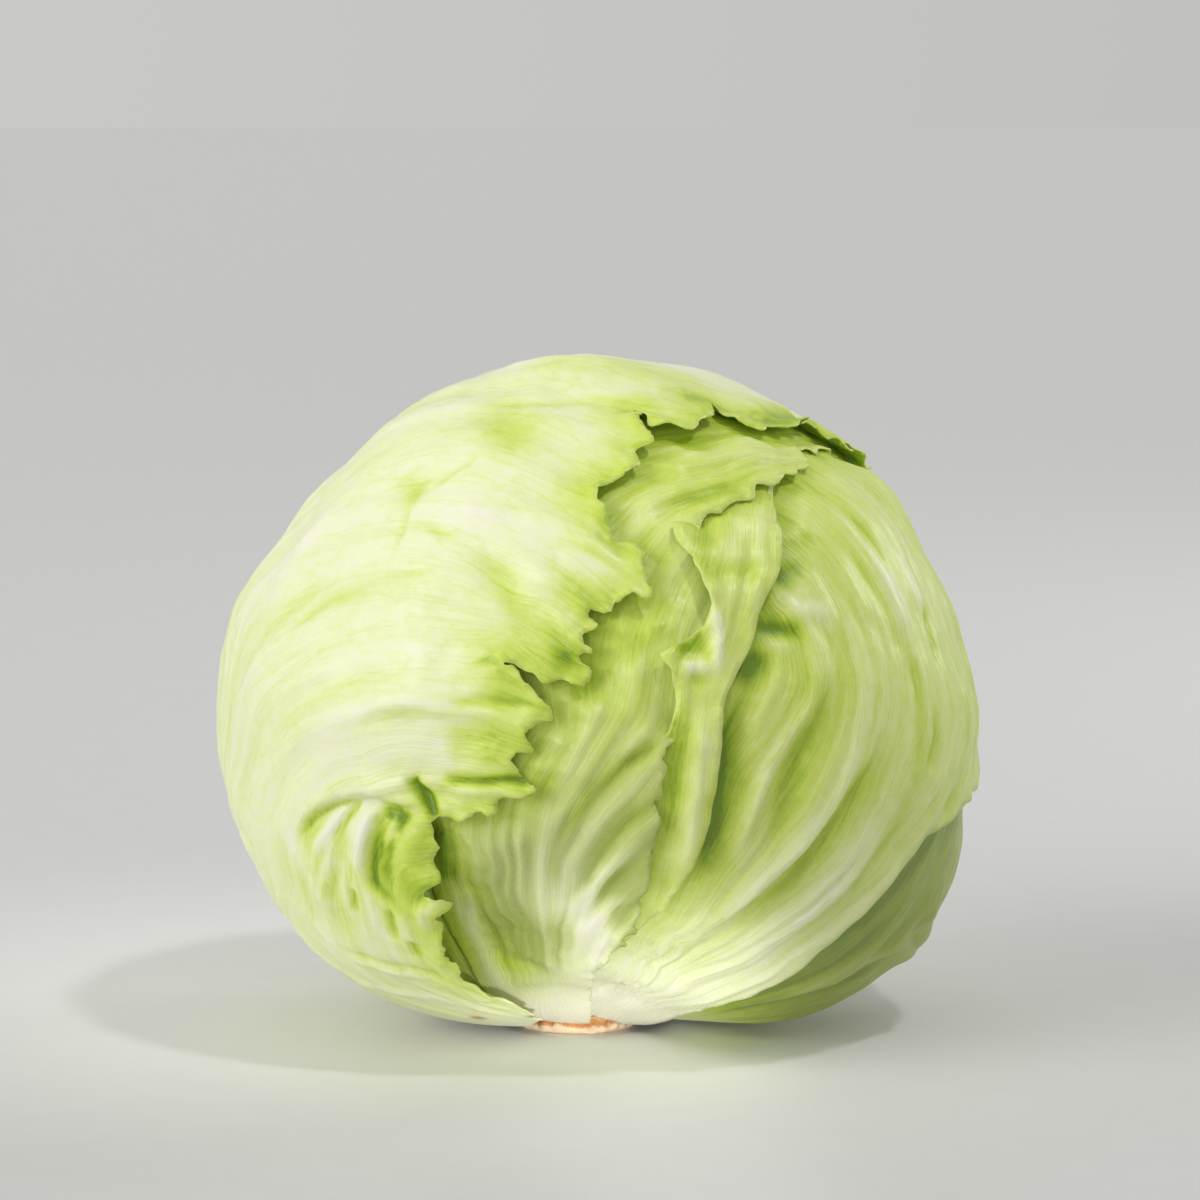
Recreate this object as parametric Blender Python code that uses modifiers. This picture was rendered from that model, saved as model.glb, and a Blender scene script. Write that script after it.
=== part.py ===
"""A whole head of iceberg lettuce that stands on its cut stem.

The head is a set of overlapping leaves round a tight heart. Its outer shape is one radius for
every direction from the head's centre. Each leaf is an outline on that shape, and it is pressed
inwards by every leaf that lies over it.

Directions are given as (longitude, latitude) in degrees from the head's centre. Longitude 0 is
the front (-Y) and 90 the right side (+X), and latitude -90 is the stem. All lengths are in
millimetres up to the point where a mesh is made.
"""
import math

import bmesh
import bpy
import numpy as np
from mathutils import Vector
from mathutils.geometry import delaunay_2d_cdt

MM = 0.001

# Driving dimensions of the head
CENTRE_HEIGHT = 70.0
FRONT_DEPTH = 77.0
BACK_DEPTH = 76.0
# Radius of the outline seen from the front, every 15 degrees anticlockwise from the right side
FRONT_RADII = [83.5, 79.5, 78.0, 76.0, 73.5, 72.0, 70.5, 69.5, 69.0, 68.5, 69.0, 73.0,
               75.5, 75.0, 76.5, 76.0, 75.0, 71.0, 68.8, 71.0, 78.0, 85.0, 87.5, 86.0]
OUTLINE_HARMONICS = 10
MEAN_RADIUS = 75.0

# Leaves
LEAF_THICKNESS = 1.2
LEAF_PITCH = 2.0
FACET = 8.0
COVER_MARGIN = 9.0
COVER_FADE = 11.0
BASE_LATITUDE = -78.5
BASE_STEP = 15.0

# Cut stem: a cone whose sides point at the head's centre
STEM_HALF_ANGLE = 10.8
STEM_HEIGHT = 40.0
STEM_CHAMFER = 0.8
STEM_SEGMENTS = 48

# Heart: the pack of inner leaves under all the layers
HEART_DEPTH = 11.5
HEART_BASE_RISE = 10.0
HEART_BASE_START = -40.0
HEART_BASE_END = -70.0
HEART_SUBDIVISIONS = 4
SOCKET_GAP = 0.4

# Outlines run anticlockwise as seen from outside: up the leaf's right margin, over its top, down
# its left margin, and then along its base, whose two longitudes come last.
LEAVES = {
    "left_wrapper_leaf": {
        "middle": (-95, 15),
        "margin": [(-15, -66), (-19, -48), (-24, -36), (-25, -24), (-21, -12), (-10, -8), (-3, 2),
                   (4, 10), (10, 22), (6, 33), (12, 44), (22, 52), (38, 54), (60, 52), (78, 47),
                   (92, 39), (106, 50), (130, 60), (165, 58), (195, 45), (212, 25), (218, 0),
                   (220, -30), (225, -58)],
        "base": (228, 345),
        "colour": (0.70, 0.78, 0.36),
    },
    "centre_leaf": {
        "middle": (-5, 5),
        "margin": [(7, -58), (8, -33), (11, -20), (12, -1), (14, 6), (11, 11), (20, 20), (19, 26),
                   (17, 32), (26, 34), (40, 37), (54, 42), (50, 55), (20, 68), (-20, 66),
                   (-36, 45), (-38, 10), (-35, -20), (-33, -50)],
        "base": (-32, 10),
        "colour": (0.62, 0.70, 0.36),
    },
    "folded_leaf": {
        "middle": (20, 0),
        "margin": [(14, -58), (17, -38), (20, -20), (21, 1), (24, 10), (31, 20), (36, 27),
                   (41, 38), (38, 48), (24, 48), (10, 36), (6, 15), (4, -10), (1, -35), (-2, -60)],
        "base": (-4, 16),
        "colour": (0.60, 0.74, 0.18),
    },
    "right_wrapper_leaf": {
        "middle": (60, 5),
        "margin": [(26, -66), (34, -55), (41, -45), (54, -32), (70, -20), (88, -13), (101, -4),
                   (112, 10), (119, 30), (112, 50), (92, 63), (60, 66), (30, 58), (12, 36),
                   (4, 10), (-1, -20), (-2, -50)],
        "base": (-2, 34),
        "colour": (0.62, 0.72, 0.36),
    },
    "lower_right_leaf": {
        "middle": (100, -20),
        "margin": [(150, -60), (154, -30), (157, 0), (155, 30), (148, 58), (120, 60), (85, 45),
                   (60, 20), (48, -5), (38, -28), (28, -48), (22, -64)],
        "base": (20, 145),
        "colour": (0.50, 0.60, 0.30),
    },
    "back_wrapper_leaf": {
        "middle": (187, 5),
        "margin": [(238, -58), (242, -20), (240, 20), (225, 55), (190, 74), (150, 70), (134, 45),
                   (132, 5), (132, -30), (130, -58)],
        "base": (128, 236),
        "colour": (0.66, 0.74, 0.38),
    },
    "left_inner_leaf": {
        "middle": (-32, -30),
        "margin": [(-6, -60), (-7, -40), (-6, -15), (-14, 2), (-35, 6), (-53, -6), (-60, -35),
                   (-62, -60)],
        "base": (-62, -6),
        "colour": (0.66, 0.72, 0.40),
    },
}
LEAF_ROUGHNESS = 0.45
STEM_COLOUR = (0.82, 0.78, 0.68)
HEART_COLOUR = (0.74, 0.78, 0.45)


def remove_everything():
    for thing in list(bpy.data.objects):
        bpy.data.objects.remove(thing, do_unlink=True)


def new_collection(name):
    collection = bpy.data.collections.new(name)
    bpy.context.scene.collection.children.link(collection)
    return collection


def plant_material(name, colour, roughness=LEAF_ROUGHNESS):
    material = bpy.data.materials.new(name)
    material.use_nodes = True
    shader = material.node_tree.nodes["Principled BSDF"]
    shader.inputs["Base Color"].default_value = (*colour, 1.0)
    shader.inputs["Roughness"].default_value = roughness
    shader.inputs["Metallic"].default_value = 0.0
    material.diffuse_color = (*colour, 1.0)
    return material


def add_object(name, mesh, colour, collection):
    thing = bpy.data.objects.new(name, mesh)
    mesh.materials.append(plant_material(name, colour))
    collection.objects.link(thing)
    return thing


def smooth_step(value):
    value = np.clip(value, 0.0, 1.0)
    return value * value * (3.0 - 2.0 * value)


def outline_waves():
    """The front outline as the first few waves of its radius round the head."""
    angles = np.radians(np.arange(360.0))
    known = np.radians(15.0 * np.arange(len(FRONT_RADII)))
    radii = np.interp(angles, known, FRONT_RADII, period=2.0 * math.pi)
    return np.fft.rfft(radii)[:OUTLINE_HARMONICS + 1] / len(radii)


WAVES = outline_waves()


def front_radius(angle):
    radius = np.full_like(angle, WAVES[0].real)
    for count in range(1, len(WAVES)):
        wave = WAVES[count]
        radius += 2.0 * (wave.real * np.cos(count * angle) - wave.imag * np.sin(count * angle))
    return radius


def head_radius(directions):
    """Distance from the head's centre to its outside, in each direction."""
    x, y, z = directions.T
    depth = np.where(y < 0.0, FRONT_DEPTH, BACK_DEPTH)
    width = front_radius(np.arctan2(z, x))
    return 1.0 / np.sqrt((1.0 - y * y) / width ** 2 + y * y / depth ** 2)


def direction(longitude, latitude):
    across = math.radians(longitude)
    up = math.radians(latitude)
    return np.array([math.sin(across) * math.cos(up), -math.cos(across) * math.cos(up), math.sin(up)])


class Chart:
    """A flat map of the directions round one middle direction, in millimetres at the mean radius."""

    def __init__(self, longitude, latitude):
        across = math.radians(longitude)
        self.middle = direction(longitude, latitude)
        self.east = np.array([math.cos(across), math.sin(across), 0.0])
        self.north = np.cross(self.middle, self.east)

    def flatten(self, directions):
        angle = np.arccos(np.clip(directions @ self.middle, -1.0, 1.0))
        scale = MEAN_RADIUS * angle / np.maximum(np.sin(angle), 1e-9)
        return np.stack([directions @ self.east * scale, directions @ self.north * scale], axis=1)

    def lift(self, points):
        angle = np.hypot(points[:, 0], points[:, 1]) / MEAN_RADIUS
        scale = np.sin(angle) / np.maximum(angle, 1e-9) / MEAN_RADIUS
        tangent = points[:, :1] * self.east + points[:, 1:] * self.north
        return np.cos(angle)[:, None] * self.middle + scale[:, None] * tangent


def base_arc(first, last):
    count = max(2, round((last - first) / BASE_STEP) + 1)
    return [(longitude, BASE_LATITUDE) for longitude in np.linspace(first, last, count)]


def leaf_outline(leaf, chart):
    """The closed outline on the leaf's chart, with a corner at least every facet."""
    corners = leaf["margin"] + base_arc(*leaf["base"])
    flat = chart.flatten(np.array([direction(*corner) for corner in corners]))
    points = []
    for start, end in zip(flat, np.roll(flat, -1, axis=0)):
        steps = max(1, round(np.linalg.norm(end - start) / FACET))
        points.extend(start + (end - start) * step / steps for step in range(steps))
    return np.array(points)


def outline_distance(points, outline):
    """Distance from each point to the outline, less than 0 inside it."""
    starts = outline
    edges = np.roll(outline, -1, axis=0) - starts
    to_points = points[:, None, :] - starts
    along = np.clip((to_points * edges).sum(-1) / (edges ** 2).sum(-1), 0.0, 1.0)
    nearest = np.linalg.norm(to_points - along[..., None] * edges, axis=-1).min(axis=1)
    ends = starts + edges
    spans = (starts[:, 1] > points[:, None, 1]) != (ends[:, 1] > points[:, None, 1])
    rise = np.where(np.abs(edges[:, 1]) < 1e-9, 1e-9, edges[:, 1])
    crossing = starts[:, 0] + (points[:, None, 1] - starts[:, 1]) / rise * edges[:, 0]
    inside = (spans & (points[:, None, 0] < crossing)).sum(axis=1) % 2 == 1
    return np.where(inside, -nearest, nearest)


def grid_inside(outline):
    """Points of a triangular grid that lie well inside the outline."""
    low = outline.min(axis=0)
    high = outline.max(axis=0)
    row_height = FACET * math.sqrt(3.0) / 2.0
    rows = int((high[1] - low[1]) / row_height) + 1
    columns = int((high[0] - low[0]) / FACET) + 1
    grid = [(low[0] + (column + row % 2 / 2.0) * FACET, low[1] + row * row_height)
            for row in range(rows) for column in range(columns)]
    grid = np.array(grid)
    return grid[outline_distance(grid, outline) < -FACET * 0.6]


def leaves_over(directions, shapes):
    """How many leaves lie over each direction, fading out past each leaf's outline."""
    total = np.zeros(len(directions))
    for chart, outline in shapes:
        past = outline_distance(chart.flatten(directions), outline) - COVER_MARGIN
        total += 1.0 - smooth_step(past / COVER_FADE)
    return total


def on_head(directions, depth):
    radius = head_radius(directions) - depth
    return directions * radius[:, None] + np.array([0.0, 0.0, CENTRE_HEIGHT])


def leaf_mesh(name, chart, outline, shapes_over):
    flat = np.concatenate([outline, grid_inside(outline)])
    count = len(outline)
    edges = [(index, (index + 1) % count) for index in range(count)]
    result = delaunay_2d_cdt([Vector(point) for point in flat], edges, [list(range(count))], 1, 1e-6)
    directions = chart.lift(np.array([tuple(point) for point in result[0]]))
    depth = LEAF_PITCH * leaves_over(directions, shapes_over)
    mesh = bpy.data.meshes.new(name)
    mesh.from_pydata((on_head(directions, depth) * MM).tolist(), [], result[2])
    mesh.shade_smooth()
    return mesh


def make_leaves(collection):
    """Each leaf lies under all those before it in the table."""
    shapes = []
    for name, leaf in LEAVES.items():
        chart = Chart(*leaf["middle"])
        outline = leaf_outline(leaf, chart)
        thing = add_object(name, leaf_mesh(name, chart, outline, shapes), leaf["colour"], collection)
        shell = thing.modifiers.new("thickness", "SOLIDIFY")
        shell.thickness = LEAF_THICKNESS * MM
        shell.offset = -1.0
        shapes.append((chart, outline))


def stem_radius(height, gap=0.0):
    return (CENTRE_HEIGHT - height) * math.tan(math.radians(STEM_HALF_ANGLE)) + gap


def stem_object(name, gap, collection):
    """The cone of the stem, turned from its outline; the gap makes it larger all over."""
    top = STEM_HEIGHT + gap
    profile = [(0.0, top), (stem_radius(top, gap), top),
               (stem_radius(STEM_CHAMFER, gap), STEM_CHAMFER),
               (stem_radius(0.0, gap) - STEM_CHAMFER, -gap), (0.0, -gap)]
    mesh = bpy.data.meshes.new(name)
    edges = [(index, index + 1) for index in range(len(profile) - 1)]
    mesh.from_pydata([(radius * MM, 0.0, height * MM) for radius, height in profile], edges, [])
    thing = add_object(name, mesh, STEM_COLOUR, collection)
    turn = thing.modifiers.new("turn", "SCREW")
    turn.steps = STEM_SEGMENTS
    turn.render_steps = STEM_SEGMENTS
    turn.use_merge_vertices = True
    turn.merge_threshold = 0.00001
    return thing


def make_heart(collection, cutters):
    """The pack of inner leaves: the head's shape drawn inwards, with a socket for the stem."""
    shape = bmesh.new()
    bmesh.ops.create_icosphere(shape, subdivisions=HEART_SUBDIVISIONS, radius=1.0)
    directions = np.array([tuple(vertex.co) for vertex in shape.verts])
    latitudes = np.degrees(np.arcsin(np.clip(directions[:, 2], -1.0, 1.0)))
    near_base = (HEART_BASE_START - latitudes) / (HEART_BASE_START - HEART_BASE_END)
    depth = HEART_DEPTH + HEART_BASE_RISE * smooth_step(near_base)
    for vertex, place in zip(shape.verts, on_head(directions, depth) * MM):
        vertex.co = place
    mesh = bpy.data.meshes.new("heart")
    shape.to_mesh(mesh)
    shape.free()
    mesh.shade_smooth()
    heart = add_object("heart", mesh, HEART_COLOUR, collection)

    socket = stem_object("stem_socket", SOCKET_GAP, cutters)
    socket.hide_render = True
    socket.display_type = "WIRE"
    cut = heart.modifiers.new("socket", "BOOLEAN")
    cut.operation = "DIFFERENCE"
    cut.object = socket


def main():
    remove_everything()
    collection = new_collection("iceberg_lettuce")
    cutters = new_collection("cutters")
    stem_object("cut_stem", 0.0, collection)
    make_heart(collection, cutters)
    make_leaves(collection)


main()
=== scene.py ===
"""Looks of the iceberg lettuce: fine leaves with jagged margins, veins and folds, and the cut stem.

Places seen in the photograph are pixels (x, y) of its 1200 by 1200 frame, and each becomes the
direction from the head's centre where the camera's ray meets the leaf. Places it does not show
are (longitude, latitude) in degrees: 0 is the front, 90 the right side, and -90 up is the stem.
Lengths are in millimetres until a mesh is made.
"""
from collections import namedtuple
import math

import bpy
import numpy as np
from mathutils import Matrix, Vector
from mathutils.geometry import delaunay_2d_cdt


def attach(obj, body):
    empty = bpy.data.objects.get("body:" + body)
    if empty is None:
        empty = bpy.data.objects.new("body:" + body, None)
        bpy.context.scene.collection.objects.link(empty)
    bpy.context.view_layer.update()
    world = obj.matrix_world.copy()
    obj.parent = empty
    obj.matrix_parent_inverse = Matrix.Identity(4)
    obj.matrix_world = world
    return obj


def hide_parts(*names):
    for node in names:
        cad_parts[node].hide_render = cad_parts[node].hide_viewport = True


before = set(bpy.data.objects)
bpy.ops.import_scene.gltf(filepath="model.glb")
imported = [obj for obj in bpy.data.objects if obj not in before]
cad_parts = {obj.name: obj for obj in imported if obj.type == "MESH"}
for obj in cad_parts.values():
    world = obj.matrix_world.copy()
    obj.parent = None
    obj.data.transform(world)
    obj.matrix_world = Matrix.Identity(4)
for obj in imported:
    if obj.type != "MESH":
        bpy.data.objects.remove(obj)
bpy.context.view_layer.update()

# A millimetre in metres, and the least number that anything is divided by
MM = 0.001
TINY = 1e-12

# The head's outer shape, as in the CAD model
CENTRE = np.array([0.0, 0.0, 70.0])
FRONT_DEPTH = 77.0
BACK_DEPTH = 76.0
FRONT_RADII = [83.5, 79.5, 78.0, 76.0, 73.5, 72.0, 70.5, 69.5, 69.0, 68.5, 69.0, 73.0,
               75.5, 75.0, 76.5, 76.0, 75.0, 71.0, 68.8, 71.0, 78.0, 85.0, 87.5, 86.0]
OUTLINE_HARMONICS = 10
MEAN_RADIUS = 75.0

# The dimple that the inner leaves make round the front of the stem: its depth, and in degrees
# from the stem and of longitude where it starts, is full, stops being full and ends
DIMPLE_DEPTH = 7.0
DIMPLE_LOW = (7.5, 27.0, 42.0, 82.0)
DIMPLE_FRONT = (-75.0, -12.0, 8.0, 60.0)

# Leaf shells: their thickness, the share of it left at their margins and how far in it is full
# again, the gap under a leaf that lies over another, and how far beyond that leaf it is kept
THICKNESS = 0.7
THIN_MARGIN = 0.45
THIN_WIDTH = 4.0
GAP = 0.95
GAP_REACH = 6.0

# Leaf meshes: the spacing of their points, how near to the outline the inner ones come as a share
# of it, and how near two points must be to become one
GRID = 1.0
GRID_CLEAR = 0.55
GRID_TOLERANCE = 1e-5

# A leaf's tint runs from this, its white base, to 1, its deepest green
WHITEST = -0.2

# The photograph's camera
CAMERA_ELEVATION = math.radians(6.0)
CAMERA_DISTANCE = 1000.0
PHOTO_MIDDLE = 600.0
PHOTO_WIDTH = 1200.0
MM_PER_PIXEL = 0.2092
STEM_PIXEL = (577.0, 1027.0)
SENSOR = 36.0
CLIP_START = 0.05

# How far before and behind the head's middle a camera ray is followed, and in how many steps
RAY_REACH = 110.0
RAY_STEPS = 1200

FORWARD = np.array([0.0, math.cos(CAMERA_ELEVATION), -math.sin(CAMERA_ELEVATION)])
UPWARD = np.array([0.0, math.sin(CAMERA_ELEVATION), math.cos(CAMERA_ELEVATION)])
RIGHTWARD = np.array([1.0, 0.0, 0.0])
TARGET = np.array([(PHOTO_MIDDLE - STEM_PIXEL[0]) * MM_PER_PIXEL, 0.0,
                   (STEM_PIXEL[1] - PHOTO_MIDDLE) * MM_PER_PIXEL / math.cos(CAMERA_ELEVATION)])
CAMERA = TARGET - FORWARD * CAMERA_DISTANCE


def smooth_step(value):
    value = np.clip(value, 0.0, 1.0)
    return value * value * (3.0 - 2.0 * value)


def rise(value, start, length):
    """0 up to the start, and 1 from a length beyond it."""
    return smooth_step((value - start) / length)


def window(value, start, full, fading, end):
    """0 before the start and after the end, and 1 between full and fading."""
    return rise(value, start, full - start) * (1.0 - rise(value, fading, end - fading))


def outline_waves():
    """The front outline's radii, given at even angles from the right side, as a sum of waves."""
    angles = np.radians(np.arange(360.0))
    known = np.radians(360.0 / len(FRONT_RADII) * np.arange(len(FRONT_RADII)))
    radii = np.interp(angles, known, FRONT_RADII, period=2.0 * math.pi)
    return np.fft.rfft(radii)[:OUTLINE_HARMONICS + 1] / len(radii)


WAVES = outline_waves()


def head_radius(directions):
    """Distance from the head's centre to its outside, in each direction."""
    x, y, z = directions.T
    angle = np.arctan2(z, x)
    width = np.full_like(angle, WAVES[0].real)
    for count in range(1, len(WAVES)):
        wave = WAVES[count]
        width += 2.0 * (wave.real * np.cos(count * angle) - wave.imag * np.sin(count * angle))
    depth = np.where(y < 0.0, FRONT_DEPTH, BACK_DEPTH)
    return 1.0 / np.sqrt((1.0 - y * y) / width ** 2 + y * y / depth ** 2)


def from_stem(directions):
    """The angle between each direction and the stem's, which points down."""
    return np.arccos(np.clip(-directions[:, 2], -1.0, 1.0))


def dimple(directions):
    """How far in the inner leaves lie round the front of the stem."""
    across = np.degrees(np.arctan2(directions[:, 0], -directions[:, 1]))
    low = window(np.degrees(from_stem(directions)), *DIMPLE_LOW)
    return DIMPLE_DEPTH * low * window(across, *DIMPLE_FRONT)


def around(places):
    """Directions of (longitude, latitude) places."""
    across, up = np.radians(np.array(places, float)).T
    return np.stack([np.sin(across) * np.cos(up), -np.cos(across) * np.cos(up), np.sin(up)], axis=1)


def photo(pixels, deep=0.0, dimpled=False):
    """Directions in which the photograph's rays meet a leaf that lies so deep in the head, in the
    dimple too if it is dimpled, or pass nearest to it."""
    steps = np.linspace(CAMERA_DISTANCE - RAY_REACH, CAMERA_DISTANCE + RAY_REACH, RAY_STEPS)
    directions = []
    for x, y in pixels:
        ray = FORWARD + (RIGHTWARD * (x - PHOTO_MIDDLE) + UPWARD * (PHOTO_MIDDLE - y)) \
            * MM_PER_PIXEL / CAMERA_DISTANCE
        ray /= np.linalg.norm(ray)
        from_centre = CAMERA + steps[:, None] * ray - CENTRE
        reach = np.linalg.norm(from_centre, axis=1)
        ways = from_centre / reach[:, None]
        beyond = reach - head_radius(ways) + deep
        if dimpled:
            beyond += dimple(ways)
        hits = np.nonzero(beyond < 0.0)[0]
        directions.append(ways[hits[0] if len(hits) else np.argmin(beyond)])
    return np.array(directions)


def join(*pieces):
    return np.concatenate(pieces)


class Chart:
    """A flat map of the directions round one middle direction, in millimetres at the mean radius."""

    def __init__(self, longitude, latitude):
        across = math.radians(longitude)
        self.middle = around([(longitude, latitude)])[0]
        self.east = np.array([math.cos(across), math.sin(across), 0.0])
        self.north = np.cross(self.middle, self.east)

    def flatten(self, directions):
        angle = np.arccos(np.clip(directions @ self.middle, -1.0, 1.0))
        scale = MEAN_RADIUS * angle / np.maximum(np.sin(angle), TINY)
        return np.stack([directions @ self.east * scale, directions @ self.north * scale], axis=1)

    def lift(self, points):
        angle = np.hypot(points[:, 0], points[:, 1]) / MEAN_RADIUS
        scale = np.sin(angle) / np.maximum(angle, TINY) / MEAN_RADIUS
        tangent = points[:, :1] * self.east + points[:, 1:] * self.north
        return np.cos(angle)[:, None] * self.middle + scale[:, None] * tangent


def in_chunks(function, points, size=3000):
    """The function's values at the points, worked out for a few of them at a time."""
    parts = [function(points[start:start + size]) for start in range(0, len(points), size)]
    return np.concatenate(parts) if parts else np.zeros(0)


def outline_distance(points, outline):
    """Distance from each point to the outline, less than 0 inside it."""
    starts = outline
    edges = np.roll(outline, -1, axis=0) - starts
    ends = starts + edges
    squares = np.maximum((edges ** 2).sum(-1), TINY)
    climbs = np.where(np.abs(edges[:, 1]) < TINY, TINY, edges[:, 1])

    def measure(part):
        to_points = part[:, None, :] - starts
        along = np.clip((to_points * edges).sum(-1) / squares, 0.0, 1.0)
        nearest = np.linalg.norm(to_points - along[..., None] * edges, axis=-1).min(axis=1)
        height = part[:, None, 1]
        spans = (starts[:, 1] > height) != (ends[:, 1] > height)
        crossing = starts[:, 0] + (height - starts[:, 1]) / climbs * edges[:, 0]
        inside = (spans & (part[:, None, 0] < crossing)).sum(axis=1) % 2 == 1
        return np.where(inside, -nearest, nearest)

    return in_chunks(measure, points)


class Noise:
    """Smooth repeatable noise about 1 high: a sum of plane waves of about one wavelength."""

    COUNT = 26
    LENGTHS = (0.7, 1.5)
    CHUNK = 20000

    def __init__(self, seed, *wavelengths):
        random = np.random.default_rng(seed)
        turns = random.normal(size=(self.COUNT, len(wavelengths)))
        turns /= np.linalg.norm(turns, axis=1)[:, None]
        lengths = random.uniform(*self.LENGTHS, (self.COUNT, 1))
        self.turns = 2.0 * math.pi * turns / lengths / np.array(wavelengths)
        self.starts = random.uniform(0.0, 2.0 * math.pi, self.COUNT)
        self.scale = math.sqrt(2.0 / self.COUNT)

    def __call__(self, places):
        return self.scale * in_chunks(
            lambda part: np.cos(part @ self.turns.T + self.starts).sum(axis=1), places, self.CHUNK)


def even_noise(seed, wavelength):
    """Noise with the same wavelength in every direction."""
    return Noise(seed, wavelength, wavelength, wavelength)


def vein_noise(seed, across, along):
    """Noise over (vein, place, place), with one wavelength across the veins and one along them."""
    return Noise(seed, across, along, along)


def rounded(points, step):
    """A smooth curve of short steps through the points of an open line."""
    padded = np.concatenate([[2.0 * points[0] - points[1]], points, [2.0 * points[-1] - points[-2]]])
    curve = []
    for before, start, end, after in zip(padded, padded[1:], padded[2:], padded[3:]):
        count = max(1, int(np.linalg.norm(end - start) / step))
        for t in np.arange(count)[:, None] / count:
            curve.append(0.5 * (2.0 * start + (end - before) * t
                                + (2.0 * before - 5.0 * start + 4.0 * end - after) * t ** 2
                                + (3.0 * start - before - 3.0 * end + after) * t ** 3))
    return np.concatenate([np.reshape(curve, (-1, points.shape[1])), points[-1:]])


class VeinField:
    """A number for every direction that stays the same along each vein and grows across them.

    It is a sum of distances to places on the guides and of linear terms (1, x, y, z), fitted to
    the guides' labels with some slack.
    """

    STEP = 12.0
    SLACK = 0.5
    TERMS = 4

    def __init__(self, guides):
        places = []
        labels = []
        for label, line in guides:
            curve = rounded(line * MEAN_RADIUS, self.STEP)
            places.append(curve)
            labels.append(np.full(len(curve), float(label)))
        self.places = np.concatenate(places)
        known = np.concatenate(labels)
        count = len(known)
        spread = np.linalg.norm(self.places[:, None] - self.places, axis=-1)
        linear = np.column_stack([np.ones(count), self.places])
        system = np.zeros((count + self.TERMS, count + self.TERMS))
        system[:count, :count] = spread + self.SLACK * np.eye(count)
        system[:count, count:] = linear
        system[count:, :count] = linear.T
        self.weights = np.linalg.lstsq(system, np.append(known, np.zeros(self.TERMS)), rcond=None)[0]

    def __call__(self, directions):
        def measure(part):
            spread = np.linalg.norm(part[:, None] - self.places, axis=-1)
            linear = np.column_stack([np.ones(len(part)), part])
            return spread @ self.weights[:-self.TERMS] + linear @ self.weights[-self.TERMS:]
        return in_chunks(measure, directions * MEAN_RADIUS)


class Stroke:
    """A fold along a line: its width, its height (less than 0 for a valley) and how green it is. Its
    green is partly the leaf's own colour, pale on ribs and greener in valleys, and partly painted:
    painted shade in hollows and under overhanging edges, and painted highlights on some ridges.

    It fades out over a share of its length at each end. A step is high on the line's left side
    and low on its right side, and its edge and slopes are given as shares of its width.
    """

    STEP = 4.0
    REACH = 3.0
    EDGE = 0.35
    SLOPE = 1.6

    def __init__(self, line, width, height, green=0.0, fade=0.3, step=False):
        self.curve = rounded(line * MEAN_RADIUS, self.STEP)
        self.width = width
        self.height = height
        self.green = green
        self.fade = fade
        self.step = step

    def __call__(self, directions):
        """The height and the green that the fold adds in each direction."""
        places = directions * MEAN_RADIUS
        height = np.zeros(len(places))
        green = np.zeros(len(places))
        reach = self.REACH * self.width
        low = self.curve.min(axis=0) - reach
        high = self.curve.max(axis=0) + reach
        near = np.nonzero(((places > low) & (places < high)).all(axis=1))[0]
        if not len(near):
            return height, green
        starts = self.curve[:-1]
        edges = self.curve[1:] - starts
        squares = (edges ** 2).sum(-1)

        def measure(part):
            to_points = part[:, None, :] - starts
            along = np.clip((to_points * edges).sum(-1) / squares, 0.0, 1.0)
            apart = to_points - along[..., None] * edges
            distance = np.linalg.norm(apart, axis=-1)
            nearest = distance.argmin(axis=1)
            rows = np.arange(len(part))
            left = np.cross(part, edges[nearest])
            side = np.sign((left * apart[rows, nearest]).sum(-1))
            way = (nearest + along[rows, nearest]) / len(edges)
            return np.column_stack([distance[rows, nearest], side, way])

        distance, side, way = in_chunks(measure, places[near]).T
        ends = smooth_step(np.minimum(way, 1.0 - way) / self.fade)
        bell = np.exp(-(distance / self.width) ** 2)
        green[near] = self.green * bell * ends
        if self.step:
            slopes = np.exp(-(distance / (self.SLOPE * self.width)) ** 2)
            bell = np.tanh(distance * side / (self.EDGE * self.width)) * slopes
        height[near] = self.height * bell * ends
        return height, green


class Cover:
    """A part of the head where a leaf is pressed down, or lifted if the drop is less than 0.

    The drop fades out beyond the outline, and from the head's middle towards the stem, where it
    has its least share. A leaf given with it also stays over the pressed one, by a gap. Beyond the
    outline the drop is full for a border, and the pressed leaf is free to rise a little farther out.
    """

    BORDER = 1.5
    FREE = 0.6
    RISE = 5.0

    def __init__(self, chart, outline, drop, fade=9.0, least=0.5, settled=(0.0, 55.0), leaf=None,
                 gap=GAP):
        self.chart = chart
        self.outline = outline
        self.drop = drop
        self.fade = fade
        self.least = least
        self.settled = settled
        self.leaf = leaf
        self.gap = gap

    def outside(self, directions):
        return outline_distance(self.chart.flatten(directions), self.outline)

    def press(self, directions, outside):
        """How far the leaf is pressed down."""
        start, end = self.settled
        from_base = MEAN_RADIUS * from_stem(directions)
        strength = self.least + (1.0 - self.least) * rise(from_base, start, end - start)
        return self.drop * strength * self.share(outside)

    def share(self, outside):
        """1 up to the border, fading to 0 beyond it."""
        return 1.0 - rise(outside, self.BORDER, self.fade)

    def limit(self, directions, outside):
        """The height that the pressed leaf must stay under."""
        above = self.leaf.shape(directions).height - self.gap
        return above + self.RISE * rise(outside, self.FREE, self.RISE)


def under(leaf, drop, outline=None, **settings):
    """The cover that a leaf makes for those below it, or that a part of it with an outline does."""
    line = leaf.outline if outline is None else leaf.chart.flatten(outline)
    return Cover(leaf.chart, line, drop, leaf=leaf, **settings)


def base_arc(first, last, latitude, step=4.0):
    """A leaf's base round the stem, between two longitudes."""
    count = max(2, round(abs(last - first) / step) + 1)
    return around([(longitude, latitude) for longitude in np.linspace(first, last, count)])


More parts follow.
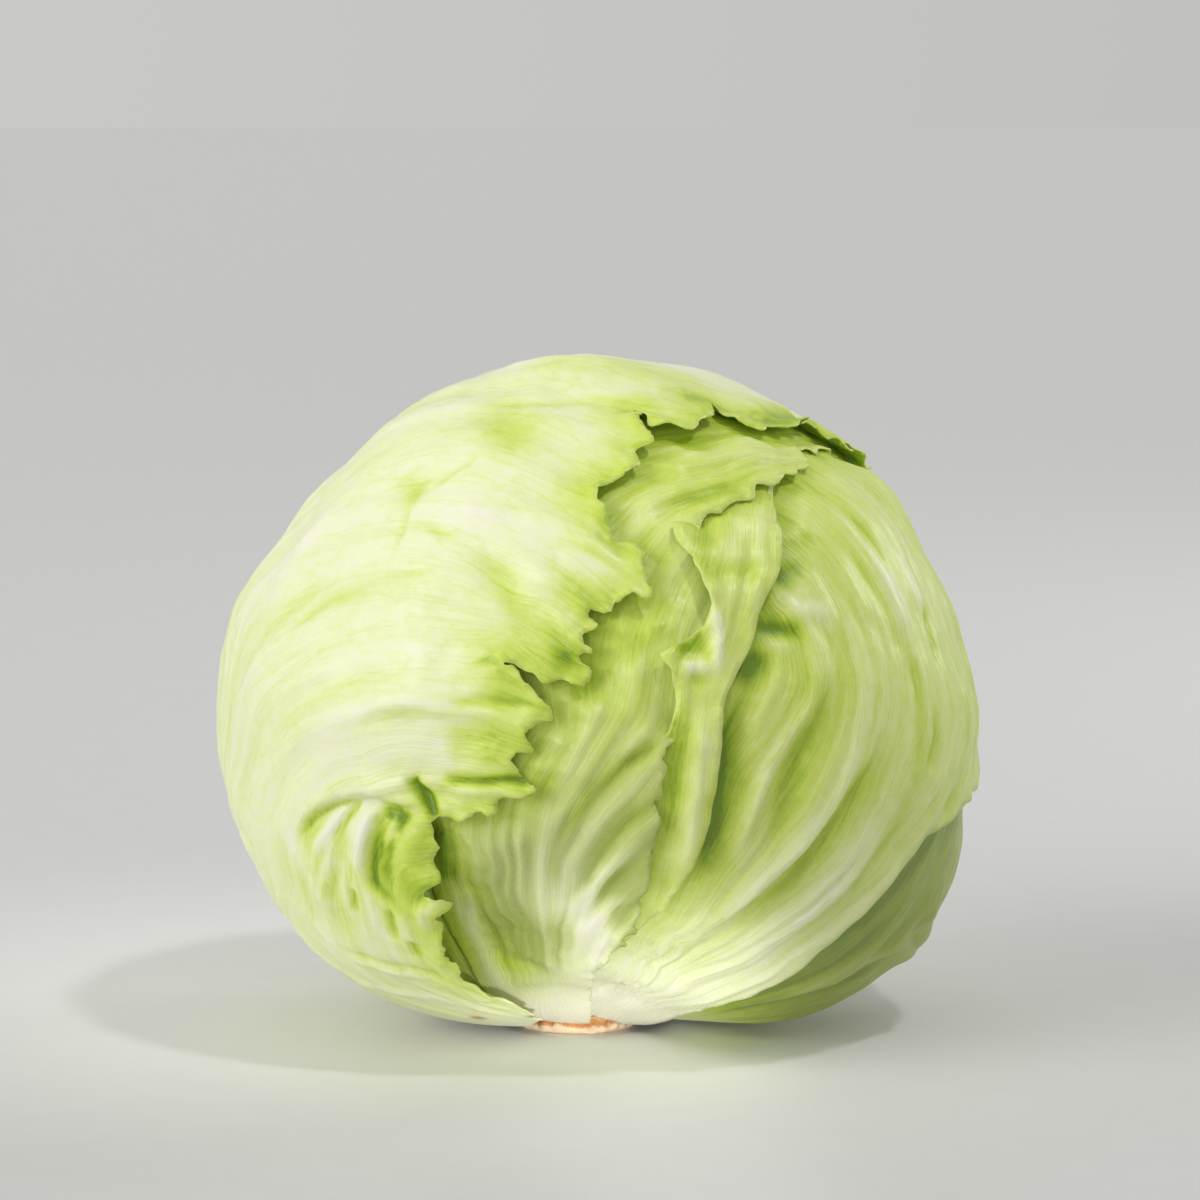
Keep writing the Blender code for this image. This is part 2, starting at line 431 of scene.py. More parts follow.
# Teeth of a margin: how far they stray, as a share of their width, how their sizes vary, how their
# backs curve, the share of them inside the line, and the lobes' height as a share of the teeth's
TOOTH_STRAY = 0.45
TOOTH_SIZES = (0.1, 1.0)
TOOTH_CURVE = 1.6
TOOTH_INSIDE = 0.4
LOBE_SHARE = 0.9


def with_teeth(curve, seed, tooth, depth, lobe, fade):
    """The margin with uneven teeth and wider lobes, which fade out at both its ends."""
    random = np.random.default_rng(seed)
    travelled = np.append(0.0, np.cumsum(np.linalg.norm(np.diff(curve, axis=0), axis=1)))
    count = int(travelled[-1] / tooth)
    stops = (np.arange(count + 1) + random.uniform(-TOOTH_STRAY, TOOTH_STRAY, count + 1)) * tooth
    sizes = random.uniform(*TOOTH_SIZES, count + 1) * depth
    place = np.searchsorted(stops, travelled).clip(1, count)
    share = np.clip((travelled - stops[place - 1]) / (stops[place] - stops[place - 1]), 0.0, 1.0)
    saw = sizes[place] * (share ** TOOTH_CURVE - TOOTH_INSIDE)
    saw += LOBE_SHARE * depth * Noise(seed, lobe)(travelled[:, None])
    ends = smooth_step(np.minimum(travelled, travelled[-1] - travelled) / fade)
    outward = np.cross(np.gradient(curve, axis=0), curve)
    outward /= np.linalg.norm(outward, axis=1)[:, None]
    moved = curve + outward * (saw * ends)[:, None]
    return moved / np.linalg.norm(moved, axis=1)[:, None]


def jagged(line, seed, tooth=6.5, depth=2.0, lobe=24.0, fade=10.0, step=1.0):
    """A free edge that the photograph does not show, along a line of directions."""
    return with_teeth(rounded(line * MEAN_RADIUS, step), seed, tooth, depth, lobe, fade)


def serrated(line, seed, tooth=2.6, depth=0.55, lobe=7.0, fade=2.0, step=0.6):
    """A free edge traced from the photograph, with small teeth between the traced points."""
    points = line * MEAN_RADIUS
    steps = [start + (end - start) * share for start, end in zip(points, points[1:])
             for share in np.arange(0.0, 1.0, step / max(step, np.linalg.norm(end - start)))]
    return with_teeth(np.array(steps + [points[-1]]), seed, tooth, depth, lobe, fade)


Shape = namedtuple("Shape", "height green edge veins from_base contact")


class Leaf:
    """One leaf: an outline on the head, its veins, folds and colours, and what presses on it."""

    # How far from its margin it lifts, ruffles and is greener, and how far beyond the edge of a leaf
    # over it the painted shade under that leaf reaches
    LIFT_WIDTH = 9.0
    RUFFLE_WIDTH = 5.0
    MARGIN_WIDTH = 14.0
    COVER_SHADE_WIDTH = 5.0

    # In millimetres from the stem: where its forms and its greener margin set in and over what
    # length, how far it is wholly white, and where its khaki painted shade lies
    PLEATS_FROM = (24.0, 34.0)
    CREASES_FROM = (25.0, 30.0)
    BLISTERS_FROM = (50.0, 30.0)
    MARGIN_FROM = (40.0, 30.0)
    WHITE_TO = 12.0
    PAINTED_SHADE_RANGE = (25.0, 55.0, 80.0, 140.0)

    # Heights of its creases and blisters, the least and the changing share of its lift, and how
    # much flatter it is under another leaf
    CREASE = 0.10
    BLISTER = 0.08
    LIFT_LEAST = 0.7
    LIFT_CHANGE = 0.6
    FLATTER = 0.7

    # What its patches, pleats and the painted shade under a leaf over it add to its green, the tint
    # from which it gets all of its khaki painted shade, and how much less of that it gets under a leaf
    PATCHY = 0.04
    PLEAT_GREEN = -0.10
    COVER_SHADE_GREEN = 0.30
    PAINTED_SHADE_TINT = 0.4
    PAINTED_SHADE_LESS = 0.8

    def __init__(self, name, slot, middle, outline, guides, strokes, covers=(), seed=1, base=0.3,
                 pleat=0.3, spacing=7.0, broad=0.4, lift=1.0, ruffle=0.4, white=45.0, margin=0.2,
                 dimpled=False, spots=(), streak=0.45, vein_green=-0.08, grain=0.9, painted_shade=0.0):
        self.name = name
        self.slot = slot
        self.chart = Chart(*middle)
        self.outline = self.chart.flatten(outline)
        self.veins = VeinField(guides)
        self.strokes = strokes
        self.covers = covers
        self.seed = seed
        self.base = base
        self.pleat = pleat
        self.broad = broad
        self.lift = lift
        self.ruffle = ruffle
        self.white = white
        self.margin = margin
        self.dimpled = dimpled
        self.spots = spots
        self.streak = streak
        self.vein_green = vein_green
        self.grain = grain
        self.painted_shade = painted_shade
        self.waves = even_noise(seed, wavelength=26.0)
        self.blisters = even_noise(seed + 1, wavelength=8.0)
        self.ridges = vein_noise(seed + 2, across=spacing, along=60.0)
        self.ripples = even_noise(seed + 3, wavelength=14.0)
        self.patches = vein_noise(seed + 4, across=7.0, along=45.0)
        self.puckers = even_noise(seed + 5, wavelength=6.0)
        self.creases = vein_noise(seed + 6, across=3.4, along=24.0)

    def shape(self, directions):
        """The leaf's height over the head's outside, and what its colours need."""
        places = directions * MEAN_RADIUS
        edge = -outline_distance(self.chart.flatten(directions), self.outline)
        from_base = MEAN_RADIUS * from_stem(directions)
        away = rise(from_base, *self.PLEATS_FROM)
        veins = self.veins(directions)
        across = np.column_stack([veins, places[:, 0] + places[:, 1], places[:, 2]])
        ridges = self.ridges(across)
        relief = (self.broad * self.waves(places) + self.pleat * ridges) * away
        relief += self.BLISTER * self.blisters(places) * rise(from_base, *self.BLISTERS_FROM)
        relief += self.CREASE * self.creases(across) * rise(from_base, *self.CREASES_FROM)
        green = self.PATCHY * self.patches(across) + self.PLEAT_GREEN * self.pleat * ridges * away
        for stroke in self.strokes:
            height, tint = stroke(directions)
            relief += height
            green += tint
        near = 1.0 - smooth_step(edge / self.LIFT_WIDTH)
        margin = self.lift * near ** 2 * (self.LIFT_LEAST + self.LIFT_CHANGE * self.ripples(places))
        margin += self.ruffle * self.puckers(places) * (1.0 - smooth_step(edge / self.RUFFLE_WIDTH))
        height = np.zeros(len(places))
        covered = np.zeros(len(places))
        contact = np.zeros(len(places))
        outsides = [cover.outside(directions) for cover in self.covers]
        for cover, outside in zip(self.covers, outsides):
            height -= cover.press(directions, outside)
            if cover.leaf:
                covered = np.maximum(covered, cover.share(outside))
                # Painted shade: how near it lies to a leaf over it, full underneath and fading beyond its
                # edge
                apart = np.maximum(outside, 0.0) / self.COVER_SHADE_WIDTH
                contact = np.maximum(contact, np.exp(-apart ** 2))
        height += relief * (1.0 - self.FLATTER * covered) + margin * away * (1.0 - covered)
        if self.dimpled:
            height -= dimple(directions)
        for cover, outside in zip(self.covers, outsides):
            close = np.nonzero(outside < GAP_REACH)[0]
            if cover.leaf and len(close):
                limit = cover.limit(directions[close], outside[close])
                height[close] = np.minimum(height[close], limit)
        return Shape(height, green, edge, veins, from_base, contact)

    def tint(self, shape):
        """How green the leaf is in each direction, from its whitest to 1."""
        # Greener beside and under a leaf over it: painted shade
        tint = self.base + shape.green + self.COVER_SHADE_GREEN * shape.contact
        inside = smooth_step(shape.edge / self.MARGIN_WIDTH)
        tint += self.margin * (1.0 - inside) * rise(shape.from_base, *self.MARGIN_FROM)
        white = 1.0 - rise(shape.from_base, self.WHITE_TO, self.white)
        return tint * (1.0 - white) + WHITEST * white

    def painted_shading(self, shape):
        """How much khaki painted shade darkens the leaf: most between its base and the head's middle, less
        on pale ribs and little under another leaf."""
        green = smooth_step(self.tint(shape) / self.PAINTED_SHADE_TINT) * (1.0 - self.PAINTED_SHADE_LESS * shape.contact)
        return self.painted_shade * green * window(shape.from_base, *self.PAINTED_SHADE_RANGE)

    def browning(self, directions):
        """How brown the leaf is, which is only in its spots."""
        brown = np.zeros(len(directions))
        for middle, size in self.spots:
            apart = MEAN_RADIUS * np.linalg.norm(directions - middle, axis=1)
            brown = np.maximum(brown, np.exp(-(apart / size) ** 2))
        return brown


def triangulate(outline):
    """The outline and a fine grid inside it, joined in triangles on the chart."""
    points = []
    for start, end in zip(outline, np.roll(outline, -1, axis=0)):
        steps = max(1, round(np.linalg.norm(end - start) / GRID))
        points.extend(start + (end - start) * step / steps for step in range(steps))
    border = np.array(points)
    low = border.min(axis=0)
    high = border.max(axis=0)
    row_height = GRID * math.sqrt(3.0) / 2.0
    rows = np.arange(int((high[1] - low[1]) / row_height) + 1)
    columns = np.arange(int((high[0] - low[0]) / GRID) + 1)
    column, row = np.meshgrid(columns, rows)
    grid = np.column_stack([(low[0] + (column + row % 2 / 2.0) * GRID).ravel(),
                            (low[1] + row * row_height).ravel()])
    inside = grid[outline_distance(grid, outline) < -GRID_CLEAR * GRID]
    count = len(border)
    edges = [(index, (index + 1) % count) for index in range(count)]
    flat = [Vector(point) for point in np.concatenate([border, inside])]
    result = delaunay_2d_cdt(flat, edges, [list(range(count))], 1, GRID_TOLERANCE)
    return np.array([tuple(point) for point in result[0]]), result[2]


def add_attribute(mesh, name, values):
    attribute = mesh.attributes.new(name, "FLOAT", "POINT")
    attribute.data.foreach_set("value", np.asarray(values, np.float32))


def add_piece(name, mesh, node):
    thing = bpy.data.objects.new(name, mesh)
    bpy.context.collection.objects.link(thing)
    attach(thing, "root")
    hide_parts(node)
    return thing


def build_leaf(leaf, node):
    flat, faces = triangulate(leaf.outline)
    directions = leaf.chart.lift(flat)
    shape = leaf.shape(directions)
    places = directions * (head_radius(directions) + shape.height)[:, None] + CENTRE
    mesh = bpy.data.meshes.new(leaf.name)
    mesh.from_pydata((places * MM).tolist(), [], faces)
    mesh.shade_smooth()
    add_attribute(mesh, "tint", leaf.tint(shape))
    add_attribute(mesh, "vein", shape.veins)
    add_attribute(mesh, "edge", shape.edge)
    add_attribute(mesh, "painted_shade", leaf.painted_shading(shape))
    add_attribute(mesh, "brown", leaf.browning(directions))
    thing = add_piece(leaf.name, mesh, node)
    group = thing.vertex_groups.new(name="thickness")
    weights = np.round(THIN_MARGIN + (1.0 - THIN_MARGIN) * smooth_step(shape.edge / THIN_WIDTH), 2)
    for weight in np.unique(weights):
        group.add(np.nonzero(weights == weight)[0].tolist(), float(weight), "REPLACE")
    shell = thing.modifiers.new("thickness", "SOLIDIFY")
    shell.thickness = THICKNESS * MM
    shell.offset = -1.0
    shell.vertex_group = "thickness"
    return thing


# What the photograph shows, in pixels. Veins are (label, line), and two labels differ by about the
# millimetres between their lines. Folds are (line, width, height, green), and some have a fade too.
# The folds' green is partly the leaf's own colour and partly painted shade and painted highlights,
# and folds with no height only paint colour, mostly shade. Spots are (place, size).

LOBE_MARGIN = [
    (541, 1020), (530, 1008), (516, 1000), (495, 994), (480, 987), (467, 981), (460, 972), (461, 965),
    (450, 960), (447, 954), (448, 949), (443, 942), (440, 924), (442, 912), (447, 907), (454, 901),
    (446, 896), (440, 894), (428, 892), (434, 884), (439, 876), (437, 862), (435, 845), (433, 830)]
FLAP_MARGIN = [
    (431, 822), (441, 819), (460, 817), (475, 818), (483, 809), (498, 811), (501, 803), (513, 797),
    (537, 789),
    (535, 782), (514, 776), (512, 760), (531, 754), (524, 732), (552, 721), (548, 707), (541, 697),
    (530, 683), (516, 672), (505, 664), (523, 669), (542, 679), (550, 681), (570, 684), (584, 686),
    (589, 681), (588, 668), (582, 657), (591, 653), (584, 645), (585, 631), (596, 624), (592, 612),
    (612, 610), (613, 599), (647, 598), (646, 579), (642, 566), (647, 552), (635, 546), (626, 543),
    (614, 540)]
UPPER_MARGIN = [
    (606, 513), (596, 490), (610, 482), (631, 476), (631, 466), (640, 458), (646, 447), (648, 436),
    (645, 427), (635, 420), (633, 410), (638, 417), (652, 427), (671, 432), (690, 430), (699, 425),
    (710, 418), (712, 405), (725, 413), (737, 420), (748, 425), (761, 428), (777, 427), (794, 427),
    (806, 421), (815, 430), (828, 439), (846, 449), (850, 445), (866, 458), (868, 448)]
LEFT_VEINS = [
    (5, [(535, 1018), (480, 1000), (445, 972), (432, 935), (436, 900)]),
    (20, [(528, 1018), (470, 1003), (400, 968), (384, 947), (370, 900), (361, 859), (372, 815)]),
    (32, [(467, 1007), (388, 982), (345, 940), (333, 878), (340, 830), (372, 798), (430, 788)]),
    (45, [(340, 965), (300, 930), (283, 880), (277, 830), (302, 775), (360, 748), (440, 740), (525, 757)]),
    (60, [(285, 925), (243, 830), (247, 744), (285, 678), (394, 635), (500, 640), (575, 685)]),
    (74, [(238, 830), (226, 740), (228, 690), (258, 622), (330, 575), (420, 560), (510, 595), (600, 650)]),
    (86, [(222, 680), (240, 610), (290, 545), (350, 505), (430, 494), (540, 516), (640, 590)]),
    (97, [(280, 540), (330, 490), (380, 452), (440, 425), (530, 430), (600, 465)]),
    (108, [(380, 430), (440, 395), (520, 382), (610, 395), (700, 420), (800, 424)]),
]
LEFT_FOLDS = [
    ([(300, 840), (304, 831), (313, 818), (327, 809), (344, 803), (362, 803)], 0.7, -0.8, 0.52),
    ([(304, 858), (308, 842), (318, 828), (334, 818)], 2.4, 0.0, 0.28, 0.4),
    ([(333, 850), (337, 834), (344, 820), (351, 810), (357, 803)], 0.7, -0.8, 0.55),
    ([(336, 868), (342, 846), (351, 828)], 1.8, 0.0, 0.28, 0.4),
    ([(378, 900), (372, 868), (373, 840), (378, 822), (386, 810)], 1.0, -1.3, 0.58),
    ([(386, 912), (380, 880), (380, 846), (388, 826)], 2.4, 0.0, 0.32, 0.4),
    ([(382, 870), (380, 838), (386, 822), (396, 814)], 0.7, -0.6, 0.30),
    ([(392, 900), (389, 870), (391, 845), (396, 832)], 0.8, -0.4, 0.35, 0.4),
    ([(346, 900), (350, 870), (354, 850)], 0.7, -0.3, 0.30, 0.4),
    ([(318, 880), (322, 858), (328, 842)], 0.8, -0.3, 0.30, 0.4),
    ([(366, 868), (373, 884), (390, 898), (402, 915)], 1.6, -0.8, 0.36, 0.4),
    ([(394, 840), (399, 824), (412, 813)], 1.1, -1.0, 0.60),
    ([(376, 815), (390, 814), (404, 813)], 2.0, -0.7, 0.66),
    ([(352, 886), (354, 900), (357, 915)], 0.9, -0.7, 0.55),
    ([(388, 905), (391, 924), (396, 944)], 1.1, -0.9, 0.50),
    ([(412, 940), (414, 950), (419, 960)], 1.0, -0.6, 0.45),
    ([(330, 905), (332, 885), (340, 862)], 1.2, -0.4, 0.24),
    ([(316, 855), (322, 838), (334, 820), (345, 805)], 1.2, 0.7, -0.22),
    ([(356, 880), (358, 856), (362, 828), (366, 805)], 1.6, 1.1, -0.32),
    ([(418, 868), (412, 842), (416, 824)], 2.4, 0.8, 0.02),
    ([(383, 880), (382, 856), (388, 834)], 1.5, 0.6, 0.10),
    ([(343, 872), (348, 896), (357, 925)], 0.9, 0.6, -0.22),
    ([(366, 888), (372, 910), (382, 938)], 0.9, 0.6, -0.22),
    ([(402, 908), (408, 928), (418, 948)], 0.9, 0.6, -0.18),
    ([(430, 935), (424, 910), (436, 897), (452, 901)], 1.6, 1.6, -0.40),
    ([(306, 926), (374, 960), (431, 975), (475, 992), (525, 1015)], 1.3, -0.7, 0.20),
    ([(330, 962), (390, 987), (460, 1004), (530, 1017)], 1.2, 0.5, -0.12),
    ([(298, 900), (338, 945), (400, 972), (450, 984)], 1.1, 0.5, -0.12),
    # The dart and the groove under the flap's edge: valleys darkened with painted shade
    ([(410, 776), (417, 787), (427, 800), (438, 820)], 1.3, -1.9, 0.90, 0.15),
    ([(444, 780), (480, 782), (510, 780), (536, 783)], 0.9, -1.3, 0.62, 0.2),
    ([(446, 772), (450, 780), (452, 790)], 1.6, -0.3, 0.35),
    ([(440, 792), (480, 791), (530, 787)], 1.8, 0.8, -0.15),
    ([(424, 470), (418, 484), (412, 498), (400, 524)], 2.6, -0.6, 0.42, 0.5),
    ([(398, 470), (408, 488), (410, 510)], 3.4, -0.3, 0.22, 0.5),
    ([(412, 492), (432, 487), (450, 476), (472, 464), (484, 446)], 0.8, -0.35, 0.24, 0.5),
    ([(410, 490), (404, 530), (394, 556), (384, 578)], 0.9, -0.35, 0.24, 0.5),
    ([(374, 590), (384, 577), (420, 573), (468, 562)], 0.8, -0.3, 0.20, 0.5),
    ([(405, 520), (424, 526), (440, 534), (472, 545)], 0.9, -0.3, 0.22, 0.5),
    ([(420, 508), (470, 503), (530, 512), (570, 532)], 1.0, -0.25, 0.14, 0.5),
    ([(440, 560), (478, 562), (505, 590), (520, 622), (545, 660)], 2.4, -0.8, 0.30, 0.5),
    ([(470, 545), (500, 566), (530, 610), (560, 650), (584, 684)], 3.0, -0.5, 0.26, 0.5),
    ([(538, 620), (560, 645), (584, 684)], 3.2, -0.3, 0.42, 0.5),
    ([(552, 600), (572, 640), (586, 672)], 1.6, 0.7, -0.12),
    ([(420, 500), (455, 506), (500, 520), (545, 545)], 4.5, 0.6, -0.10, 0.5),
    ([(560, 520), (600, 550), (634, 592)], 3.0, 0.8, -0.18, 0.5),
    ([(530, 545), (565, 575), (600, 603), (640, 598)], 2.0, -0.6, 0.36, 0.5),
    ([(550, 535), (590, 552), (640, 588)], 1.0, -0.6, 0.34, 0.5),
    ([(590, 530), (615, 548), (642, 572)], 1.4, -0.5, 0.26, 0.5),
    ([(596, 492), (612, 520), (626, 543)], 2.4, -0.3, 0.16, 0.5),
    ([(510, 665), (490, 661), (468, 663)], 0.9, -0.4, 0.30, 0.5),
    ([(505, 668), (530, 690), (545, 712)], 2.4, 0.7, -0.10, 0.5),
    ([(470, 712), (510, 690), (540, 700)], 3.4, -0.3, 0.24, 0.5),
    # Painted shade: the top of the leaf greener and darker
    ([(500, 375), (580, 366), (680, 380), (760, 412)], 8.0, 0.0, 0.26),
    ([(440, 440), (520, 420), (600, 430), (640, 440)], 6.0, 0.2, 0.14, 0.5),
    # Painted shade: the lobe greener and darker below the overhang
    ([(350, 830), (380, 880), (420, 930)], 8.0, 0.0, 0.24),
    ([(398, 828), (412, 870), (424, 915)], 4.5, 0.0, 0.20, 0.4),
    ([(290, 840), (320, 890), (375, 940)], 8.0, 0.0, 0.20),
    ([(280, 800), (300, 860), (350, 930)], 3.0, 0.5, -0.16, 0.4),
    ([(440, 705), (490, 701), (545, 707)], 1.1, -0.6, 0.38),
    ([(350, 730), (400, 712), (450, 712)], 1.4, -0.4, 0.25),
    ([(300, 760), (350, 722), (410, 700), (470, 690)], 5.0, 0.5, -0.10),
    ([(440, 745), (480, 742), (515, 752)], 4.0, -0.4, 0.30),
    ([(474, 394), (500, 410), (515, 440), (545, 455)], 5.5, -0.9, 0.30),
    ([(490, 372), (560, 366), (640, 372)], 3.5, 0.7, -0.12),
    ([(480, 402), (540, 402), (625, 395)], 2.0, -0.5, 0.22),
    ([(640, 405), (700, 400), (760, 412), (810, 421)], 4.0, -0.7, 0.22),
    ([(740, 418), (775, 422), (812, 420), (846, 440), (866, 454)], 3.2, -1.5, 0.20, 0.25),
    ([(258, 620), (300, 555), (350, 490)], 6.0, 0.8, -0.10),
    ([(235, 710), (255, 650), (300, 600), (350, 568)], 2.0, -0.4, 0.14),
    ([(280, 640), (330, 600), (375, 590)], 1.3, -0.4, 0.20),
    ([(250, 800), (262, 720), (310, 660), (380, 625)], 2.0, -0.4, 0.12),
]
OVERHANG = [(297, 848), (306, 825), (322, 808), (342, 799), (366, 797), (392, 803), (412, 807), (428, 817)]
LEFT_SPOTS = [((479, 1017), 1.5), ((532, 1013), 0.9)]

CENTRE_BASE = [(512, 1003), (524, 1008), (545, 1013), (570, 1015), (590, 1014)]
CENTRE_MARGIN = [
    (591, 1002), (590, 985), (592, 966), (604, 953), (609, 949), (611, 942), (617, 940), (622, 936),
    (622, 931), (631, 924), (632, 916), (636, 914), (635, 905), (641, 891), (645, 878), (648, 867),
    (649, 855), (646, 848), (647, 845), (654, 838), (655, 830), (656, 812), (655, 803), (650, 797),
    (661, 793), (663, 786), (660, 776), (663, 764), (660, 758), (664, 746)]
CENTRE_HIDDEN_MARGIN = [(680, 735), (690, 715), (688, 690), (690, 665), (706, 645), (720, 612),
                        (716, 580), (704, 550), (696, 535)]
CENTRE_OVER_FOLD = [(640, 742), (604, 700), (592, 620), (604, 540), (640, 505), (690, 505)]
BAND_MARGIN = [(699, 526), (707, 517), (718, 515), (727, 509), (738, 505), (745, 502), (752, 493),
               (762, 491), (771, 489), (780, 481), (789, 479), (795, 475), (804, 469), (800, 461),
               (797, 453), (787, 451), (797, 450), (814, 453), (830, 453), (847, 450), (842, 441)]
CENTRE_LEFT = [(422, 790), (422, 830), (425, 860), (430, 890), (442, 918), (456, 942), (470, 962),
               (490, 989)]
CENTRE_VEINS = [
    (-14, [(508, 1000), (482, 965), (462, 930), (450, 890), (445, 830)]),
    (-7, [(520, 998), (497, 957), (476, 920), (460, 880), (452, 830)]),
    (0, [(535, 985), (512, 920), (490, 860), (478, 815)]),
    (10, [(545, 985), (530, 920), (516, 860), (512, 815), (525, 770), (550, 730)]),
    (22, [(555, 985), (543, 920), (541, 860), (556, 800), (586, 745), (610, 690), (640, 590), (690, 520),
          (765, 485)]),
    (32, [(563, 985), (556, 920), (564, 860), (594, 805), (630, 760), (664, 725)]),
    (42, [(572, 985), (575, 925), (594, 875), (622, 838), (652, 810)]),
    (50, [(582, 985), (592, 940), (612, 900), (640, 870)]),
    (14, [(545, 640), (600, 540), (640, 500), (720, 480), (798, 465)]),
    (0, [(560, 500), (640, 450), (710, 440), (785, 448)]),
]
CENTRE_FOLDS = [
    ([(552, 990), (541, 890), (548, 835), (577, 778), (606, 730), (625, 705)], 4.0, 0.7, -0.14, 0.5),
    ([(566, 985), (560, 890), (577, 835), (602, 800), (632, 776), (655, 768)], 2.4, 0.5, -0.30, 0.4),
    ([(578, 985), (583, 895), (606, 858), (634, 830), (653, 818)], 3.0, 0.7, -0.45),
    ([(586, 985), (598, 915), (620, 883), (646, 862)], 2.8, 0.7, -0.50),
    ([(590, 975), (604, 934), (628, 908)], 1.8, 0.3, -0.36, 0.4),
    # Painted shade beside the lobe's margin
    ([(436, 815), (440, 850), (444, 885)], 2.2, 0.0, 0.42, 0.2),
    ([(555, 850), (572, 820), (596, 790), (620, 764), (650, 749), (663, 745)], 1.5, -0.9, 0.34),
    ([(572, 900), (590, 865), (614, 830), (637, 805), (660, 794)], 1.4, -1.0, 0.36),
    ([(582, 920), (602, 888), (626, 863), (648, 846)], 1.3, -1.0, 0.36),
    ([(592, 940), (608, 912), (634, 890)], 1.1, -0.6, 0.24),
    ([(516, 1000), (496, 968), (479, 940), (464, 905), (454, 870)], 2.6, 0.8, -0.46, 0.2),
    ([(528, 996), (506, 958), (488, 920), (472, 880)], 0.9, -0.6, 0.22),
    ([(535, 975), (518, 925), (512, 880)], 6.0, -0.5, 0.26, 0.4),
    ([(505, 940), (490, 895), (480, 850)], 4.0, -0.4, 0.16, 0.4),
    ([(560, 985), (580, 940), (610, 900)], 7.0, 0.2, -0.16, 0.4),
    # Painted shade under the flap and under the left wrapper's upper margin
    ([(600, 730), (625, 660), (640, 590)], 9.0, 0.0, 0.16, 0.4),
    ([(640, 505), (690, 480), (770, 465)], 8.0, 0.0, 0.16, 0.4),
    ([(600, 700), (630, 676), (660, 660)], 2.6, 0.6, -0.14),
    ([(615, 655), (645, 632), (680, 622)], 2.4, -0.4, 0.14),
    ([(640, 510), (700, 500), (760, 488)], 2.5, -0.5, 0.18),
    ([(640, 470), (700, 462), (780, 462)], 3.0, 0.5, -0.08),
    ([(650, 445), (700, 440), (770, 440)], 2.5, -0.5, 0.22),
]

# The thin ribs that fan out over the centre leaf: where their tops are, the rows of their feet,
# middles and tops, how far their feet spread as a share of their tops and where they are, how far
# to the left their middles bend, and what else a fold has
FAN_TOPS = [462, 474, 484, 495, 505, 516, 527, 538]
FAN_ROWS = (970, 895, 822)
FAN_SPREAD = 0.3
FAN_FOOT = 394
FAN_BEND = 10.0
FAN_FOLD = (0.9, 0.3, -0.08, 0.6)

FOLD_LEFT_MARGIN = [
    (669, 528), (670, 537), (673, 546), (682, 557), (688, 562), (690, 569), (695, 578), (698, 589),
    (702, 596), (706, 607), (699, 628), (689, 638), (680, 643), (669, 648), (657, 655), (659, 661),
    (668, 671), (669, 680), (672, 690), (673, 703), (670, 715), (668, 725), (666, 732)]
FOLD_RIGHT_MARGIN = [
    (607, 953), (626, 940), (650, 917), (672, 890), (688, 866), (699, 845), (707, 822), (712, 800),
    (714, 778), (716, 754), (716, 730), (716, 710), (722, 691), (730, 676), (742, 654), (747, 640),
    (753, 618), (760, 600), (768, 583), (773, 566), (771, 545), (771, 526), (772, 506), (773, 489)]
FOLD_TOP = [(772, 476), (740, 476), (712, 494), (702, 510), (699, 527)]
FOLD_HIDDEN = [(652, 752), (643, 800), (632, 850), (622, 890), (606, 925), (598, 945)]
FOLD_RAISED = [(720, 528), (773, 545), (768, 583), (747, 640), (722, 691), (716, 728)]
FOLD_PRESSING = [(692, 585), (704, 607), (697, 632), (680, 645), (660, 656), (671, 690), (671, 712),
                 (716, 712), (740, 660), (765, 590), (750, 565)]
FOLD_VEINS = [
    (0, [(600, 980), (640, 890), (655, 800), (664, 720), (664, 660), (690, 630), (690, 580)]),
    (10, [(610, 980), (662, 890), (684, 800), (692, 710), (712, 640), (724, 580), (730, 520)]),
    (20, [(620, 980), (682, 890), (706, 800), (714, 710), (745, 640), (765, 575), (771, 500)]),
]
FOLD_FOLDS = [
    # A ridge made paler by a painted glint
    ([(708, 603), (709, 620), (713, 640), (712, 662), (708, 684)], 1.0, 1.5, -0.42),
    ([(672, 684), (680, 740), (675, 800), (660, 860)], 2.2, -0.9, 0.22),
    ([(697, 690), (697, 750), (690, 810), (676, 880)], 2.8, 1.0, -0.26),
    ([(712, 760), (708, 820), (694, 870)], 1.6, -0.5, 0.16),
    ([(676, 560), (720, 578), (765, 572)], 2.4, -0.9, 0.24),
    ([(725, 540), (745, 525), (765, 505)], 4.0, 0.7, -0.18),
    ([(683, 540), (700, 548), (720, 545)], 2.0, -0.5, 0.20),
    ([(668, 652), (688, 648), (706, 640)], 2.4, -1.1, 0.42),
    # A pale ridge in the crook, with a painted highlight
    ([(676, 667), (690, 668), (707, 671)], 1.5, 0.9, -0.42),
    ([(684, 678), (696, 680), (706, 684)], 1.4, -0.7, 0.25),
    ([(730, 600), (735, 630), (725, 660)], 3.0, -0.5, 0.10),
]

RIGHT_MARGIN = [
    (628, 1024), (642, 1024), (658, 1021), (680, 1014), (706, 1005), (734, 995), (762, 983), (787, 969),
    (815, 950), (841, 930), (868, 905), (894, 878), (912, 858), (930, 837), (951, 819), (964, 803),
    (978, 786)]
RIGHT_VEINS = [
    (0, [(596, 1000), (640, 930), (680, 850), (705, 760), (725, 690), (745, 640)]),
    (12, [(599, 1002), (650, 955), (700, 890), (735, 830), (751, 784), (787, 730), (806, 690), (800, 640),
          (775, 600)]),
    (26, [(603, 1006), (680, 941), (751, 884), (812, 830), (845, 765), (855, 709), (848, 640), (820, 580),
          (790, 540)]),
    (42, [(610, 1010), (680, 978), (787, 919), (851, 866), (894, 801), (922, 730), (922, 680), (900, 610),
          (860, 540), (810, 490)]),
    (56, [(625, 1016), (700, 998), (787, 955), (855, 903), (908, 850), (952, 784), (963, 730), (948, 650),
          (915, 570), (860, 480)]),
]
